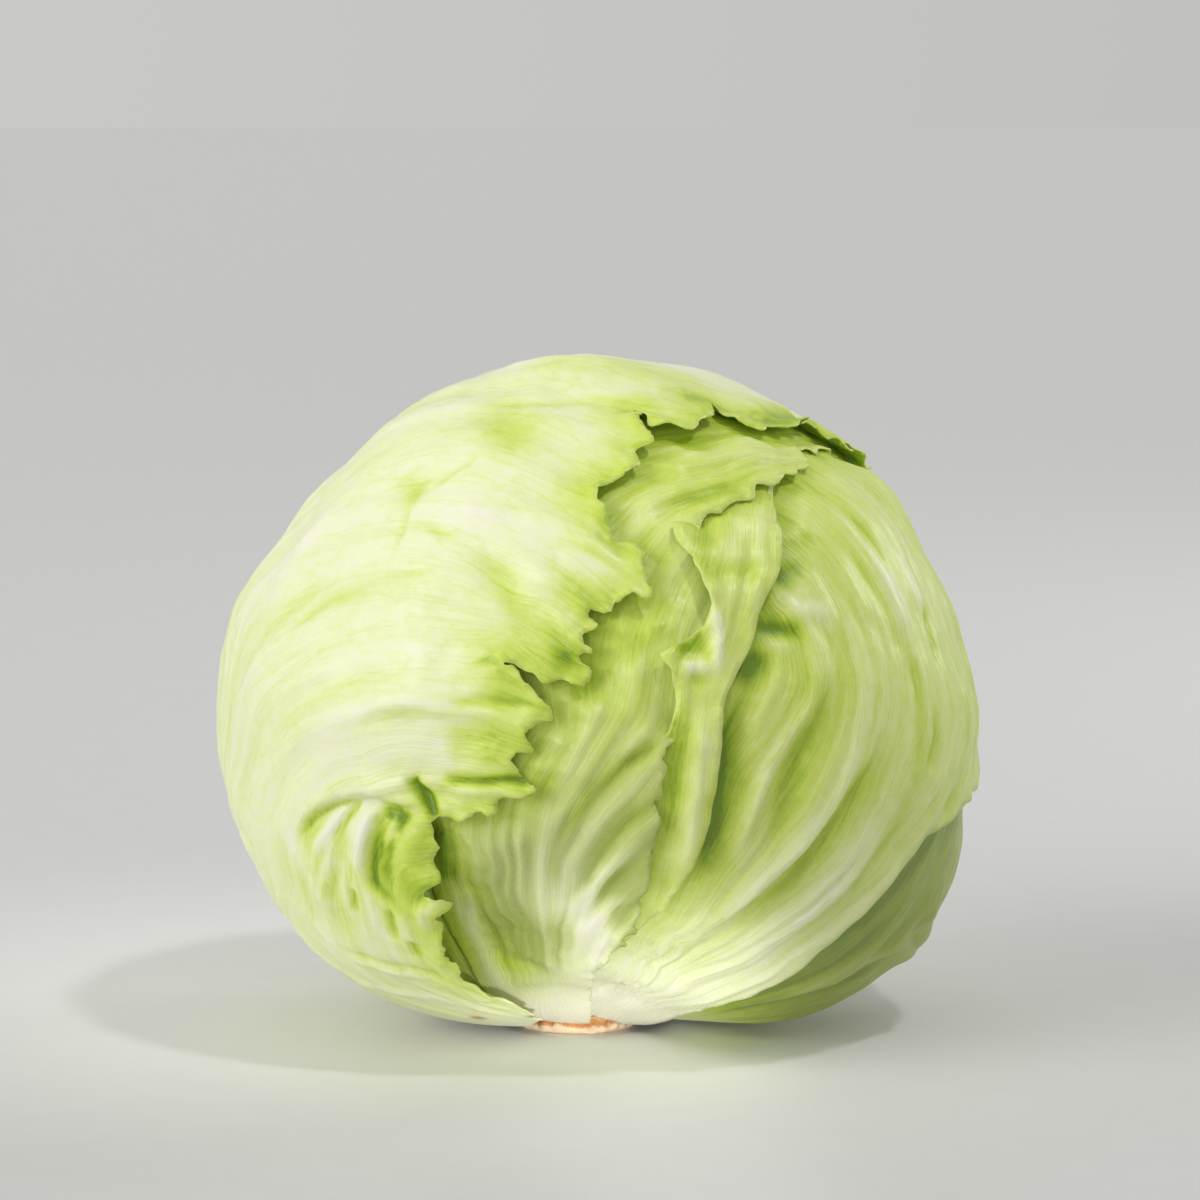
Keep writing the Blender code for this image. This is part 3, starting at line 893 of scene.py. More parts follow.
RIGHT_FOLDS = [
    # The channel beside the folded strip and the hollows off it, deepened with painted shade
    ([(690, 900), (702, 873), (716, 830), (721, 784), (727, 730), (736, 692)], 2.6, -2.0, 0.52),
    ([(738, 690), (745, 672), (758, 655), (772, 640)], 3.6, -0.7, 0.46, 0.4),
    ([(740, 634), (768, 626), (796, 630), (812, 640)], 1.8, -0.9, 0.46, 0.4),
    ([(748, 652), (775, 645), (800, 652)], 1.6, 0.7, -0.20, 0.4),
    ([(765, 584), (787, 571), (815, 563)], 2.0, -0.7, 0.36, 0.4),
    ([(768, 612), (795, 606), (822, 612), (838, 628)], 2.2, 0.8, -0.26, 0.4),
    ([(772, 598), (795, 592), (820, 590)], 1.4, 0.4, -0.12, 0.4),
    ([(762, 560), (800, 540), (840, 545)], 1.8, -0.4, 0.16, 0.4),
    ([(790, 480), (815, 490), (850, 520)], 3.0, -0.4, 0.18, 0.4),
    ([(728, 880), (740, 838), (755, 798), (766, 766), (787, 732), (808, 700), (815, 660)], 1.6, 1.5, -0.26),
    ([(766, 870), (780, 815), (800, 760), (820, 712), (824, 660)], 2.5, -1.4, 0.36),
    ([(700, 930), (722, 880), (738, 830), (744, 780), (760, 735)], 2.4, -0.7, 0.20),
    ([(655, 960), (680, 941), (751, 884), (798, 844), (834, 801), (851, 759), (855, 712), (848, 670)],
     2.6, 1.9, -0.26, 0.4),
    ([(720, 935), (773, 898), (816, 848), (851, 800), (876, 768), (892, 725)], 2.9, -1.8, 0.36),
    ([(700, 960), (770, 925), (840, 868), (880, 815), (900, 770)], 3.8, 1.1, -0.22),
    ([(640, 1000), (700, 978), (787, 935), (850, 885), (900, 825), (925, 780)], 4.5, 0.9, -0.20, 0.5),
    ([(760, 958), (820, 915), (880, 855), (920, 800)], 1.8, -0.7, 0.22),
    ([(905, 790), (916, 740), (915, 690), (905, 640)], 1.8, -0.9, 0.30),
    ([(920, 600), (932, 640), (938, 680)], 1.6, -0.9, 0.36),
    ([(928, 700), (934, 740), (926, 780)], 1.4, -0.7, 0.28),
    # Ridges made paler by a painted sheen
    ([(850, 530), (872, 562), (892, 605), (902, 650)], 3.6, 1.0, -0.28),
    ([(885, 545), (907, 580), (926, 625)], 2.6, 0.7, -0.20),
    ([(830, 500), (865, 540), (893, 590)], 1.5, -0.6, 0.26),
    ([(640, 1014), (734, 985), (841, 922), (926, 830), (970, 780)], 1.8, 0.6, -0.10, 0.5),
    ([(940, 820), (958, 790), (968, 760)], 1.4, -0.7, 0.25),
    ([(952, 800), (968, 770), (972, 735)], 1.4, 0.6, -0.15),
]
RIGHT_FOOT = [
    ([(593, 1026), (593, 1010), (594, 998), (604, 990), (628, 982)], 1.0, -1.3, 0.10, 0.2),
    ([(604, 1018), (622, 1006), (670, 992)], 3.4, 0.8, -0.10, 0.5),
]
RIGHT_SPOTS = [((612, 1020), 0.9), ((600, 1021), 0.7)]

LOWER_FOLDS = [
    ([(700, 1020), (760, 1008), (830, 985), (895, 945)], 1.8, -1.2, 0.45),
    ([(790, 995), (850, 968), (900, 935), (930, 890)], 1.5, 1.2, -0.30),
    ([(820, 960), (870, 920), (915, 870), (950, 820)], 1.6, -1.2, 0.40),
    ([(880, 945), (905, 940), (925, 905), (950, 865)], 2.6, 1.8, -0.20),
    ([(770, 1002), (820, 978), (868, 945)], 1.2, 1.0, -0.30),
    ([(740, 1005), (800, 985), (850, 955), (900, 905)], 1.0, -0.6, 0.35),
]

INNER_VEINS = [
    (0, [(490, 1000), (440, 950), (420, 880), (415, 810)]),
    (10, [(505, 998), (465, 950), (443, 890), (436, 810)]),
    (20, [(518, 993), (490, 940), (463, 890), (452, 810)]),
    (34, [(540, 990), (530, 900), (510, 800)]),
]
INNER_FOLDS = [
    ([(500, 1003), (470, 975), (452, 945), (444, 905)], 2.2, -0.6, 0.20),
    ([(490, 1000), (462, 960), (448, 925)], 1.2, 0.5, -0.15),
]

# What the photograph does not show, as (longitude, latitude)

LEFT_BACK_MARGIN = [(98, 37), (110, 37), (124, 44), (142, 53), (168, 56), (195, 45), (212, 25), (218, 0),
                    (220, -30), (225, -58)]
LEFT_BACK_VEINS = [
    (122, [(-92, -55), (-98, -10), (-104, 30), (-125, 62), (170, 78), (110, 62)]),
    (150, [(-115, -60), (-120, -10), (-128, 25), (-150, 50), (170, 60)]),
    (180, [(-125, -65), (-132, -30), (-138, 5), (-150, 30)]),
]
CENTRE_BACK = [(72, 54), (48, 62), (20, 69), (-20, 66), (-36, 45), (-38, 10), (-30, -8)]
RIGHT_BACK_MARGIN = [(90, -12), (101, -3), (112, 10), (119, 30), (112, 50), (92, 63)]
RIGHT_HIDDEN = [(60, 66), (30, 58), (12, 36), (4, 10), (0, -20), (2, -50), (4, -66)]
RIGHT_BACK_VEINS = [(74, [(40, -66), (60, -45), (85, -22), (97, 5), (98, 35), (80, 55)])]
LOWER_MARGIN = [(150, -60), (154, -30), (157, 0), (155, 30), (148, 58)]
LOWER_HIDDEN = [(130, 74), (95, 60), (75, 35), (60, 10), (50, -10), (38, -28), (28, -48), (22, -64)]
LOWER_VEINS = [
    (0, [(20, -70), (35, -35), (55, 5), (75, 35)]),
    (15, [(40, -70), (55, -45), (75, -15), (95, 20), (110, 45)]),
    (30, [(65, -70), (75, -45), (92, -15), (112, 20), (125, 45)]),
    (45, [(95, -70), (100, -40), (112, -5), (128, 25), (140, 45)]),
    (62, [(130, -70), (133, -40), (140, 0), (150, 30)]),
]
LOWER_BACK_FOLDS = [
    ([(62, -70), (75, -45), (92, -15), (112, 20)], 3.6, 1.2, -0.24),
    ([(85, -66), (93, -40), (106, -8), (122, 25)], 2.4, -0.8, 0.16),
    ([(100, -70), (104, -40), (116, -5), (132, 28)], 3.0, 1.0, -0.20),
    ([(118, -66), (122, -38), (132, 0), (143, 30)], 2.2, -0.8, 0.16),
    ([(75, -30), (90, 0), (104, 25)], 2.2, -0.7, 0.15),
]
BACK_MARGIN = [(238, -58), (242, -20), (240, 20), (225, 55), (190, 76), (150, 80)]
BACK_HIDDEN = [(110, 74), (122, 50), (132, 5), (132, -30), (130, -58)]
BACK_VEINS = [
    (0, [(134, -70), (134, -30), (136, 20), (145, 60)]),
    (16, [(155, -70), (152, -40), (150, 0), (152, 40), (165, 65)]),
    (32, [(182, -72), (180, -30), (180, 10), (185, 50)]),
    (48, [(205, -70), (208, -30), (210, 10), (212, 45)]),
    (64, [(232, -68), (238, -30), (238, 15), (225, 50)]),
]
BACK_FOLDS = [
    ([(182, -76), (180, -40), (180, 0), (184, 35)], 3.4, 1.8, -0.35),
    ([(174, -70), (167, -40), (162, -5), (161, 25)], 2.2, 0.9, -0.20),
    ([(190, -70), (197, -40), (203, -5), (207, 25)], 2.2, 0.9, -0.20),
    ([(180, -30), (172, 5), (168, 40)], 1.8, 0.7, -0.16),
    ([(181, -20), (190, 10), (196, 42)], 1.8, 0.7, -0.16),
    ([(160, -62), (152, -35), (148, 0), (148, 30)], 2.2, 0.8, -0.18),
    ([(204, -62), (213, -35), (220, 0), (222, 30)], 2.2, 0.8, -0.18),
    ([(173, -40), (164, -10), (160, 10)], 2.6, -0.7, 0.14),
    ([(188, -40), (196, -10), (202, 10)], 2.6, -0.7, 0.14),
]
INNER_OUTLINE = [(-6, -60), (-7, -40), (-6, -15), (-14, 2), (-35, 6), (-53, -6), (-60, -35), (-62, -60)]

# The leaves' bases: the first and last longitude, and the latitude
LEFT_BASE = (228, 325, -77.5)
RIGHT_BASE = (4, 40, -78.0)
LOWER_BASE = (20, 145, -74.5)
BACK_BASE = (128, 236, -74.5)
INNER_BASE = (-62, -6, -76.0)

# The middles of the leaves' charts
LEFT_MIDDLE = (-95, 15)
CENTRE_MIDDLE = (-5, 5)
FOLD_MIDDLE = (20, 0)
RIGHT_MIDDLE = (60, 5)
LOWER_MIDDLE = (100, -20)
BACK_MIDDLE = (187, 5)
INNER_MIDDLE = (-32, -30)

# How the front leaves lie for the photograph's rays: in millimetres under the head's outside, and
# dimpled round the stem
CENTRE_SEEN = {"deep": 2.0, "dimpled": True}
FOLD_SEEN = {"deep": 1.5, "dimpled": True}
RIGHT_SEEN = {"deep": 0.5, "dimpled": True}
INNER_SEEN = {"deep": 3.5, "dimpled": True}


def folds(table, place=photo, **seen):
    """The folds of a table, whose lines are pixels or other places."""
    return [Stroke(place(line, **seen), *sizes) for line, *sizes in table]


def vein_guides(table, place=photo, **seen):
    """The veins of a table, whose lines are pixels or other places."""
    return [(label, place(line, **seen)) for label, line in table]


def brown_spots(table, **seen):
    """The spots of a table, as (direction, size)."""
    return [(photo([pixel], **seen)[0], size) for pixel, size in table]


def left_wrapper():
    outline = join(
        serrated(photo(LOBE_MARGIN), seed=12), serrated(photo(FLAP_MARGIN), seed=13),
        serrated(photo(UPPER_MARGIN), seed=14), jagged(around(LEFT_BACK_MARGIN), seed=11),
        base_arc(*LEFT_BASE))
    guides = vein_guides(LEFT_VEINS) + vein_guides(LEFT_BACK_VEINS, around)
    strokes = folds(LEFT_FOLDS) + [Stroke(photo(OVERHANG), width=2.8, height=1.5, step=True)]
    return Leaf("left_wrapper_leaf_fine", "wrapper_leaf", LEFT_MIDDLE, outline, guides, strokes,
                seed=20, base=0.06, pleat=0.16, spacing=6.0, lift=0.7, margin=0.46,
                spots=brown_spots(LEFT_SPOTS), streak=0.26, vein_green=0.09, grain=0.35)


def fan_line(top):
    """One of the thin ribs that fan out over the centre leaf, from its foot to its top."""
    foot = FAN_SPREAD * top + FAN_FOOT
    return list(zip((foot, (foot + top) / 2.0 - FAN_BEND, top), FAN_ROWS))


def centre(left):
    outline = join(
        photo(CENTRE_BASE, **CENTRE_SEEN),
        serrated(photo(CENTRE_MARGIN, **CENTRE_SEEN), seed=15, tooth=1.8, depth=0.35),
        photo(CENTRE_HIDDEN_MARGIN, **CENTRE_SEEN),
        serrated(photo(BAND_MARGIN, **CENTRE_SEEN), seed=16, tooth=2.0, depth=0.4),
        around(CENTRE_BACK), photo(CENTRE_LEFT, **CENTRE_SEEN))
    guides = vein_guides(CENTRE_VEINS, **CENTRE_SEEN)
    strokes = folds(CENTRE_FOLDS + [(fan_line(top), *FAN_FOLD) for top in FAN_TOPS], **CENTRE_SEEN)
    fold_chart = Chart(*FOLD_MIDDLE)
    pressing = fold_chart.flatten(photo(FOLD_PRESSING, deep=FOLD_SEEN["deep"]))
    covers = [under(left, drop=2.6, least=0.1, settled=(25.0, 95.0)),
              Cover(fold_chart, pressing, drop=1.8, fade=5.0)]
    return Leaf("centre_leaf_fine", "inner_leaf", CENTRE_MIDDLE, outline, guides, strokes, covers,
                seed=40, base=0.34, pleat=0.22, spacing=3.5, lift=0.4, ruffle=0.2, white=58.0,
                margin=0.05, dimpled=True, streak=0.30, grain=0.5, painted_shade=0.62)


def folded(left, middle):
    outline = photo(
        FOLD_RIGHT_MARGIN + FOLD_TOP + FOLD_LEFT_MARGIN + FOLD_HIDDEN, **FOLD_SEEN)
    guides = vein_guides(FOLD_VEINS, **FOLD_SEEN)
    over = join(
        photo(CENTRE_BASE + CENTRE_MARGIN + CENTRE_OVER_FOLD + BAND_MARGIN, **CENTRE_SEEN),
        around(CENTRE_BACK), photo(CENTRE_LEFT, **CENTRE_SEEN))
    chart = Chart(*FOLD_MIDDLE)
    raised = chart.flatten(photo(FOLD_RAISED + FOLD_LEFT_MARGIN[::-1], deep=FOLD_SEEN["deep"]))
    covers = [under(left, drop=2.6), under(middle, drop=1.3, outline=over, fade=5.0),
              Cover(chart, raised, drop=-1.2, fade=4.0)]
    return Leaf("folded_leaf_fine", "folded_leaf", FOLD_MIDDLE, outline, guides,
                folds(FOLD_FOLDS, **FOLD_SEEN), covers, seed=60, base=0.36, pleat=0.15, spacing=5.0,
                broad=0.2, lift=0.4, ruffle=0.25, white=95.0, margin=0.04, dimpled=True,
                streak=0.30, grain=0.4)


def right_wrapper(left, middle, fold):
    outline = join(
        base_arc(*RIGHT_BASE), photo(RIGHT_MARGIN, **RIGHT_SEEN),
        jagged(around(RIGHT_BACK_MARGIN), seed=31), around(RIGHT_HIDDEN))
    guides = vein_guides(RIGHT_VEINS, **RIGHT_SEEN) + vein_guides(RIGHT_BACK_VEINS, around)
    strokes = folds(RIGHT_FOLDS + RIGHT_FOOT, **RIGHT_SEEN)
    covers = [under(left, drop=1.4), under(middle, drop=1.3),
              under(fold, drop=2.2, fade=7.0, least=0.15, settled=(65.0, 115.0), gap=0.6)]
    return Leaf("right_wrapper_leaf_fine", "wrapper_leaf", RIGHT_MIDDLE, outline, guides, strokes,
                covers, seed=80, base=0.38, pleat=0.28, spacing=5.0, lift=0.25, ruffle=0.15,
                white=95.0, margin=0.0, dimpled=True, spots=brown_spots(RIGHT_SPOTS, **RIGHT_SEEN),
                streak=0.42, grain=0.6, painted_shade=0.2)


def lower_right(left, right):
    outline = join(
        base_arc(*LOWER_BASE), jagged(around(LOWER_MARGIN), seed=41), around(LOWER_HIDDEN))
    strokes = folds(LOWER_FOLDS, deep=1.0) + folds(LOWER_BACK_FOLDS, around)
    covers = [under(left, drop=2.2), under(right, drop=2.4, fade=20.0)]
    # Its deep tint and its painted shade stand for the shade it lies in, low on the right
    return Leaf("lower_right_leaf_fine", "wrapper_leaf", LOWER_MIDDLE, outline,
                vein_guides(LOWER_VEINS, around), strokes, covers, seed=100, base=0.72, pleat=0.5,
                spacing=6.0, lift=0.8, margin=0.12, streak=0.60, grain=0.6, painted_shade=0.65)


def back_wrapper(left, right, lower):
    outline = join(
        base_arc(*BACK_BASE), jagged(around(BACK_MARGIN), seed=51), around(BACK_HIDDEN))
    covers = [under(left, drop=2.2), under(right, drop=2.0), under(lower, drop=2.0)]
    return Leaf("back_wrapper_leaf_fine", "wrapper_leaf", BACK_MIDDLE, outline,
                vein_guides(BACK_VEINS, around), folds(BACK_FOLDS, around), covers, seed=120,
                base=0.32, pleat=0.35, spacing=6.0, lift=0.8, margin=0.15)


def left_inner(left, middle):
    outline = join(base_arc(*INNER_BASE), around(INNER_OUTLINE))
    covers = [under(left, drop=1.4), under(middle, drop=0.6, gap=0.85)]
    return Leaf("left_inner_leaf_fine", "inner_leaf", INNER_MIDDLE, outline,
                vein_guides(INNER_VEINS, **INNER_SEEN), folds(INNER_FOLDS, **INNER_SEEN), covers,
                seed=140, base=0.14, pleat=0.15, lift=0.2, ruffle=0.1, margin=0.0, dimpled=True,
                streak=0.3, grain=0.5)


# The cut stem: (radius, height) from the middle of the cut face outwards and up into the head
STEM_PROFILE = [(0.0, 0.5), (3.0, 0.4), (6.0, 0.3), (9.0, 0.12), (11.0, 0.0), (11.9, 0.0), (12.4, 0.3),
                (12.7, 1.0), (12.5, 2.0), (12.1, 3.2), (11.9, 4.6), (12.2, 6.2), (12.8, 8.0), (11.5, 11.0),
                (6.0, 14.0), (0.0, 15.0)]
STEM_STEP = 0.35
STEM_TURNS = 240

# Where the ragged rim sets in and the rough cut face ends, from the axis, and over what length
STEM_RIM_FROM = (8.0, 4.0)
STEM_FACE_TO = (8.0, 3.0)

# The rim's lobes, as shares of its radius, and its rags and the face's grain, in millimetres
STEM_LOBES = 0.02
STEM_RAGS = 0.18
STEM_GRAIN = 0.10


def build_stem():
    """The stem, turned round from its profile, with a ragged rim and a rough cut face."""
    profile = rounded(np.array(STEM_PROFILE), STEM_STEP)[1:-1]
    angles = np.linspace(0.0, 2.0 * math.pi, STEM_TURNS, endpoint=False)
    ring, angle = np.meshgrid(np.arange(len(profile)), angles, indexing="ij")
    radius, height = profile[ring.ravel()].T
    turns = angle.ravel()
    flat = np.column_stack([radius * np.cos(turns), radius * np.sin(turns), height])
    rim_highlight = rise(radius, *STEM_RIM_FROM)
    radius = radius * (1.0 + STEM_LOBES * even_noise(201, wavelength=9.0)(flat) * rim_highlight)
    radius = radius + STEM_RAGS * even_noise(202, wavelength=2.2)(flat) * rim_highlight
    grain = STEM_GRAIN * (1.0 + even_noise(203, wavelength=3.0)(flat))
    height = np.maximum(height + grain * (1.0 - rise(radius, *STEM_FACE_TO)), 0.0)
    places = np.column_stack([radius * np.cos(turns), radius * np.sin(turns), height])
    count = len(profile)
    ends = np.array([[0.0, 0.0, profile[0][1]], [0.0, 0.0, profile[-1][1]]])
    faces = []
    for turn in range(STEM_TURNS):
        after = (turn + 1) % STEM_TURNS
        for row in range(count - 1):
            low = row * STEM_TURNS
            faces.append((low + turn, low + STEM_TURNS + turn, low + STEM_TURNS + after, low + after))
        faces.append((count * STEM_TURNS, turn, after))
        top = (count - 1) * STEM_TURNS
        faces.append((count * STEM_TURNS + 1, top + after, top + turn))
    mesh = bpy.data.meshes.new("cut_stem_fine")
    mesh.from_pydata((np.concatenate([places, ends]) * MM).tolist(), [], faces)
    mesh.shade_smooth()
    return add_piece("cut_stem_fine", mesh, "cut_stem")


# Materials

WHITE = (0.89, 0.88, 0.72)
PALE = (0.83, 0.88, 0.53)
LIGHT = (0.72, 0.81, 0.28)
MIDDLE = (0.58, 0.71, 0.10)
GREEN = (0.35, 0.50, 0.018)
DEEP = (0.17, 0.28, 0.005)
# The dark khaki of the painted shade on the leaves
SHADE_KHAKI = (0.28, 0.32, 0.10)
BROWN = (0.42, 0.17, 0.05)
RUST = (0.52, 0.20, 0.05)
ORANGE = (0.62, 0.29, 0.08)
TAN = (0.80, 0.58, 0.30)
CREAM = (0.86, 0.82, 0.66)
DRY_FACE = (0.72, 0.56, 0.36)
DRY_EDGE = (0.74, 0.57, 0.36)
HEART = (0.62, 0.70, 0.28)
FLOOR_PAINT = (0.81, 0.81, 0.805)
GREENS = [(0.0, WHITE), (0.17, PALE), (0.38, LIGHT), (0.60, MIDDLE), (0.82, GREEN), (1.0, DEEP)]

# Noises on a leaf's skin: how fast they change across the veins per millimetre and along them per
# metre, where they start, and their detail and roughness
FINE = (1.9, 60.0, 0.0, 3.0, 0.6)
BROAD = (0.5, 26.0, 31.0, 2.0, 0.55)
NET = (0.24, 55.0, 67.0, 2.0, 0.6)

# Noises in space: how fast they change per metre, and their detail and roughness
MOTTLE = (330.0, 3.0, 0.65)
SPECKLE = (700.0, 3.0, 0.65)
BLOTCH = (190.0, 3.0, 0.6)
CLOUD = (90.0, 2.0, 0.6)

# How thin the vein lines and threads are, and what the noises add to a leaf's tint
VEIN_SHARPNESS = 26.0
THREAD_SHARPNESS = 7.0
BROAD_STREAK = 0.6
MOTTLING = 0.30
THREAD_GREEN = -0.04

# The painted highlight along a leaf's margin: how sharply it ends per millimetre, and its share of colour
RIM_HIGHLIGHT_SHARPNESS = 2.2
RIM_HIGHLIGHT_SHARE = 0.35

# A leaf's roughness and what mottling adds to it, and the shares of the noises in its bumps
LEAF_ROUGHNESS = 0.38
ROUGHNESS_CHANGE = 0.3
BROAD_BUMP = 0.8
MOTTLE_BUMP = 0.5

# The stem's band: its colours up to a height in millimetres, how far blotches and speckles shift
# it, the share and start of the brown in blotches, and the share of the blotches in its bumps
BAND = [(0.0, DRY_FACE), (0.16, DRY_EDGE), (0.24, RUST), (0.38, ORANGE), (0.48, TAN), (0.56, CREAM),
        (1.0, WHITE)]
BAND_HEIGHT = 8.0
BLOTCH_SHIFT = 3.5
SPECKLE_SHIFT = 1.5
BLOTCH_BROWN = (3.0, -0.15)
BLOTCH_BUMP = 0.8

# Plain paint: how dark its darker clouds are, and where in the noise they end and the colour starts
CLOUD_SHADE = 0.985
CLOUD_STOPS = (0.3, 0.7)


class Nodes:
    """Short names for adding and joining shader nodes."""

    def __init__(self, name):
        self.material = bpy.data.materials.new(name)
        self.material.use_nodes = True
        self.tree = self.material.node_tree
        self.shader = self.tree.nodes["Principled BSDF"]

    def add(self, kind, **settings):
        node = self.tree.nodes.new(kind)
        for key, value in settings.items():
            setattr(node, key, value)
        return node

    def put(self, value, target):
        """Set a socket to a number or join it to another node's output."""
        if isinstance(value, bpy.types.NodeSocket):
            self.tree.links.new(value, target)
        else:
            target.default_value = value

    def shade(self, values):
        """Set the shader's sockets, by their names, to numbers or other nodes' outputs."""
        for name, value in values.items():
            self.put(value, self.shader.inputs[name])

    def math(self, operation, first, second=0.0, third=None, clamp=False):
        node = self.add("ShaderNodeMath", operation=operation, use_clamp=clamp)
        self.put(first, node.inputs[0])
        self.put(second, node.inputs[1])
        if third is not None:
            self.put(third, node.inputs[2])
        return node.outputs[0]

    def sum(self, start, *parts):
        """The start and each (value, share) part added up."""
        for value, share in parts:
            start = self.math("MULTIPLY_ADD", value, share, start)
        return start

    def places(self):
        """The position in the object, and its x, y and z."""
        position = self.add("ShaderNodeTexCoord").outputs["Object"]
        split = self.add("ShaderNodeSeparateXYZ")
        self.put(position, split.inputs[0])
        return position, split.outputs

    def attribute(self, name):
        return self.add("ShaderNodeAttribute", attribute_name=name).outputs["Fac"]

    def noise(self, vector, scale, detail, roughness):
        """Noise from about -0.5 to 0.5."""
        node = self.add("ShaderNodeTexNoise")
        self.put(vector, node.inputs["Vector"])
        node.inputs["Scale"].default_value = scale
        node.inputs["Detail"].default_value = detail
        node.inputs["Roughness"].default_value = roughness
        return self.math("SUBTRACT", node.outputs["Fac"], 0.5)

    def lines(self, noise, sharpness):
        """1 along the lines where noise is 0, falling to 0 beside them."""
        apart = self.math("MULTIPLY", self.math("ABSOLUTE", noise), sharpness, clamp=True)
        return self.math("SUBTRACT", 1.0, apart)

    def ramp(self, value, stops):
        node = self.add("ShaderNodeValToRGB")
        self.put(value, node.inputs["Fac"])
        elements = node.color_ramp.elements
        while len(elements) < len(stops):
            elements.new(1.0)
        for element, (place, colour) in zip(elements, stops):
            element.position = place
            element.color = (*colour, 1.0)
        return node.outputs["Color"]

    def mix(self, share, colours, colour):
        """Another node's colours with a share of one colour in them."""
        node = self.add("ShaderNodeMix", data_type="RGBA")
        self.put(share, node.inputs["Factor"])
        self.put(colours, node.inputs["A"])
        self.put((*colour, 1.0), node.inputs["B"])
        return node.outputs["Result"]

    def bump(self, height, strength, distance):
        node = self.add("ShaderNodeBump")
        node.inputs["Strength"].default_value = strength
        node.inputs["Distance"].default_value = distance
        self.put(height, node.inputs["Height"])
        return node.outputs["Normal"]


def leaf_material(name, leaf):
    """A leaf's skin: greens by its tint, streaked along its veins, with a net of thin vein lines."""
    nodes = Nodes(name)
    position, split = nodes.places()
    vein = nodes.attribute("vein")

    def along_veins(across, along, start, detail, roughness):
        joined = nodes.add("ShaderNodeCombineXYZ")
        nodes.put(nodes.math("MULTIPLY_ADD", vein, across, start), joined.inputs[0])
        nodes.put(nodes.math("MULTIPLY_ADD", split[0], along, float(leaf.seed)), joined.inputs[1])
        nodes.put(nodes.math("MULTIPLY", split[2], along), joined.inputs[2])
        return nodes.noise(joined.outputs[0], 1.0, detail, roughness)

    fine = along_veins(*FINE)
    broad = along_veins(*BROAD)
    net = along_veins(*NET)
    mottle = nodes.noise(position, *MOTTLE)
    veins = nodes.lines(net, VEIN_SHARPNESS)
    threads = nodes.lines(fine, THREAD_SHARPNESS)
    tint = nodes.sum(nodes.attribute("tint"), (fine, leaf.streak), (broad, BROAD_STREAK * leaf.streak),
                     (mottle, MOTTLING), (veins, leaf.vein_green), (threads, THREAD_GREEN))
    span = 1.0 - WHITEST
    colour = nodes.ramp(nodes.math("MULTIPLY_ADD", tint, 1.0 / span, -WHITEST / span), GREENS)
    # A painted highlight along the margin
    edge = nodes.math("MULTIPLY", nodes.attribute("edge"), RIM_HIGHLIGHT_SHARPNESS, clamp=True)
    rim_highlight = nodes.math("MULTIPLY", nodes.math("SUBTRACT", 1.0, edge), RIM_HIGHLIGHT_SHARE)
    colour = nodes.mix(rim_highlight, colour, LIGHT)
    # Painted shade: khaki where the leaf stands in shade
    colour = nodes.mix(nodes.attribute("painted_shade"), colour, SHADE_KHAKI)
    colour = nodes.mix(nodes.attribute("brown"), colour, BROWN)
    grain = nodes.sum(nodes.math("MULTIPLY", fine, leaf.grain), (broad, BROAD_BUMP),
                      (mottle, MOTTLE_BUMP))
    nodes.shade({
        "Base Color": colour,
        "Normal": nodes.bump(grain, strength=0.5, distance=0.0005),
        "Roughness": nodes.sum(LEAF_ROUGHNESS, (mottle, ROUGHNESS_CHANGE)),
        "Specular IOR Level": 0.45,
        "Subsurface Weight": 0.15,
        "Subsurface Radius": (0.6, 1.0, 0.2),
        "Subsurface Scale": 0.0015})
    return nodes.material


def plain_material(name, colour, roughness):
    """One colour with slightly darker clouds in it."""
    nodes = Nodes(name)
    position, _ = nodes.places()
    darker = tuple(CLOUD_SHADE * part for part in colour)
    clouds = nodes.math("ADD", nodes.noise(position, *CLOUD), 0.5)
    nodes.shade({"Base Color": nodes.ramp(clouds, list(zip(CLOUD_STOPS, (darker, colour)))),
                 "Roughness": roughness})
    return nodes.material


def stem_material():
    """White flesh, with a ragged orange and brown band above the dry cream edge of the cut."""
    nodes = Nodes("stem_flesh")
    position, split = nodes.places()
    speckle = nodes.noise(position, *SPECKLE)
    blotch = nodes.noise(position, *BLOTCH)
    height = nodes.math("MULTIPLY", split[2], 1.0 / MM)
    raised = nodes.sum(height, (blotch, BLOTCH_SHIFT), (speckle, SPECKLE_SHIFT))
    band = nodes.ramp(nodes.math("DIVIDE", raised, BAND_HEIGHT), BAND)
    brown = nodes.math("MULTIPLY_ADD", blotch, *BLOTCH_BROWN, clamp=True)
    nodes.shade({
        "Base Color": nodes.mix(brown, band, BROWN),
        "Normal": nodes.bump(nodes.sum(speckle, (blotch, BLOTCH_BUMP)), strength=0.6, distance=0.0006),
        "Roughness": 0.6})
    return nodes.material


def add_camera():
    data = bpy.data.cameras.new("camera")
    data.sensor_width = SENSOR
    data.lens = SENSOR * CAMERA_DISTANCE / (PHOTO_WIDTH * MM_PER_PIXEL)
    data.clip_start = CLIP_START
    camera = bpy.data.objects.new("camera", data)
    camera.location = CAMERA * MM
    camera.rotation_euler = (math.pi / 2.0 - CAMERA_ELEVATION, 0.0, 0.0)
    bpy.context.collection.objects.link(camera)
    bpy.context.scene.camera = camera


# Light from all round: its colour, its strength, and how much stronger it is on the right
SKY = (1.0, 0.995, 0.98)
SKY_STRENGTH = 0.56
SKY_SLOPE = -0.20

# What the low front light is turned towards: the foot of the leaves in front of the stem
STEM_FRONT = np.array([6.0, -13.0, 2.0])


def add_light(name, kind, place, strength, target=CENTRE, **settings):
    """A light at a place, turned towards a target on the head."""
    data = bpy.data.lights.new(name, kind)
    data.energy = strength
    for key, value in settings.items():
        setattr(data, key, value)
    light = bpy.data.objects.new(name, data)
    light.location = place
    light.rotation_euler = (Vector(target * MM) - Vector(place)).to_track_quat("-Z", "Y").to_euler()
    bpy.context.collection.objects.link(light)


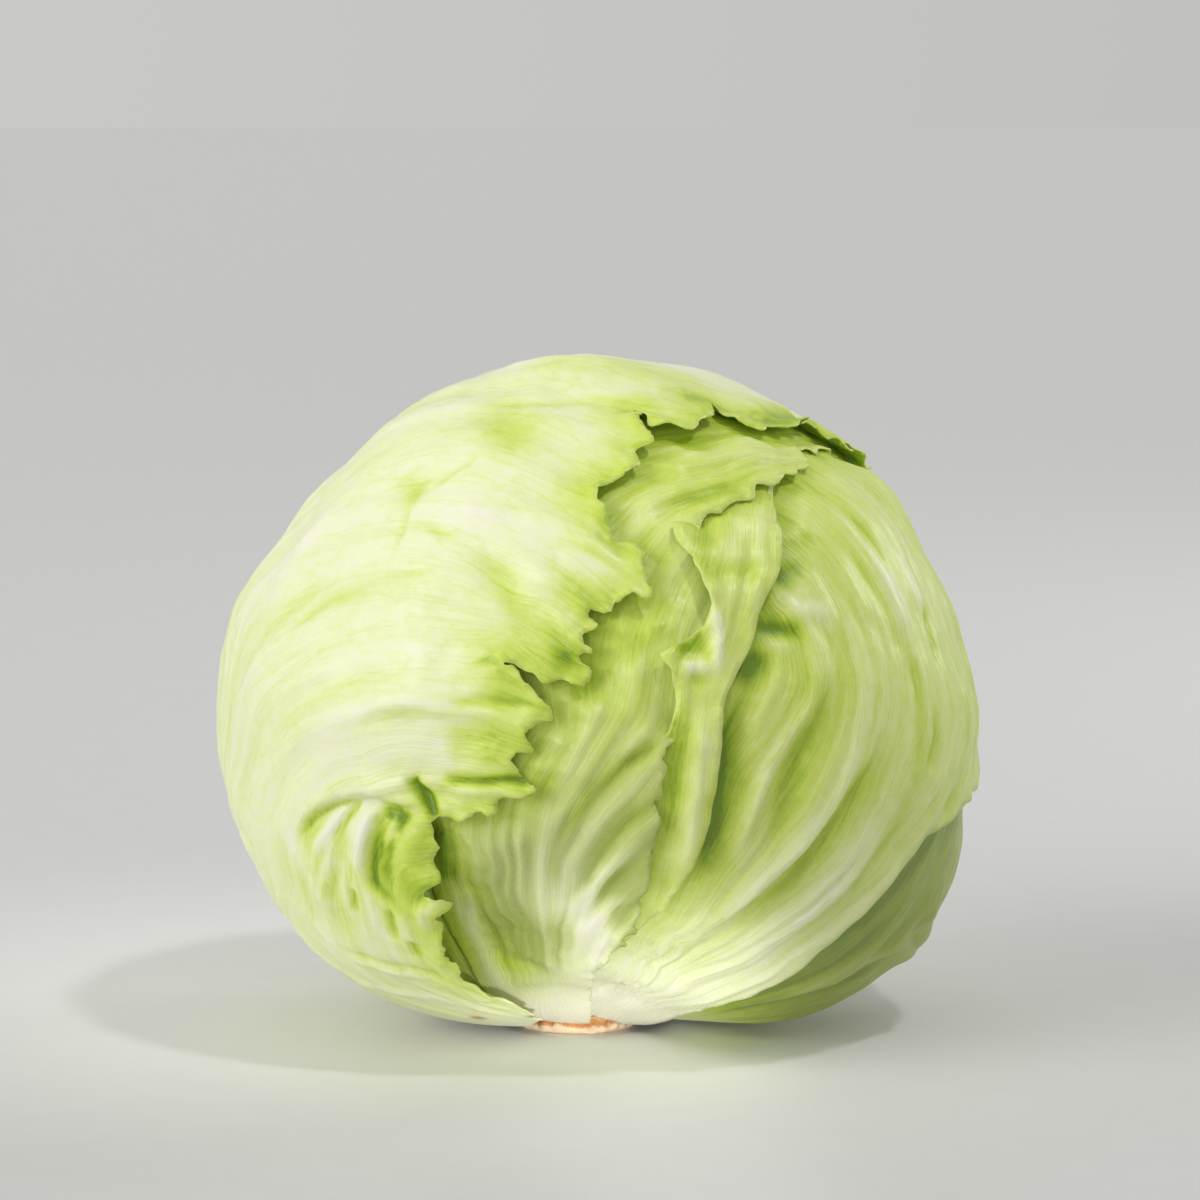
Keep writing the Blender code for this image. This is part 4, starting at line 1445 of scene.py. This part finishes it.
def add_surroundings():
    """Even light from all round, a little brighter from the left."""
    world = bpy.data.worlds.new("studio")
    world.use_nodes = True
    tree = world.node_tree
    split = tree.nodes.new("ShaderNodeSeparateXYZ")
    tree.links.new(tree.nodes.new("ShaderNodeTexCoord").outputs["Generated"], split.inputs[0])
    strength = tree.nodes.new("ShaderNodeMath")
    strength.operation = "MULTIPLY_ADD"
    tree.links.new(split.outputs[0], strength.inputs[0])
    strength.inputs[1].default_value = SKY_SLOPE
    strength.inputs[2].default_value = SKY_STRENGTH
    background = tree.nodes["Background"]
    background.inputs["Color"].default_value = (*SKY, 1.0)
    tree.links.new(strength.outputs[0], background.inputs["Strength"])
    bpy.context.scene.world = world


def add_studio():
    """The floor, and soft light from the left with weaker lights low in front, above and behind."""
    bpy.ops.mesh.primitive_plane_add(size=60.0, location=(0.0, 0.0, 0.0))
    floor = bpy.context.object
    floor.name = "floor"
    floor.data.materials.append(plain_material("floor_paint", FLOOR_PAINT, roughness=0.7))
    add_surroundings()
    add_light("key", "SUN", place=(-1.3, -0.8, 0.52), strength=1.35, angle=math.radians(45.0))
    add_light("low_front", "SPOT", place=(0.10, -0.9, 0.05), strength=27.0, target=STEM_FRONT,
              shadow_soft_size=0.012, spot_size=math.radians(5.5), spot_blend=1.0)
    add_light("top", "SPOT", place=(0.40, -0.45, 1.1), strength=15.0, shadow_soft_size=0.06,
              spot_size=math.radians(15.0), spot_blend=1.0)
    add_light("sheen", "AREA", place=(1.0, 0.6, 0.5), strength=2.5, shape="DISK", size=0.4)
    bpy.context.scene.view_settings.view_transform = "Standard"


def head_leaves():
    """The leaves, each built to lie under those over it."""
    left = left_wrapper()
    middle = centre(left)
    fold = folded(left, middle)
    right = right_wrapper(left, middle, fold)
    lower = lower_right(left, right)
    return [left, middle, fold, right, lower, back_wrapper(left, right, lower), left_inner(left, middle)]


def main():
    add_camera()
    add_studio()
    for leaf in head_leaves():
        node = leaf.name.removesuffix("_fine")
        thing = build_leaf(leaf, node)
        thing.data.materials.append(leaf_material(node + "_skin", leaf))
    build_stem().data.materials.append(stem_material())
    heart = bpy.data.objects["heart"]
    heart.material_slots[0].material = plain_material("heart_leaves", HEART, roughness=0.5)


main()
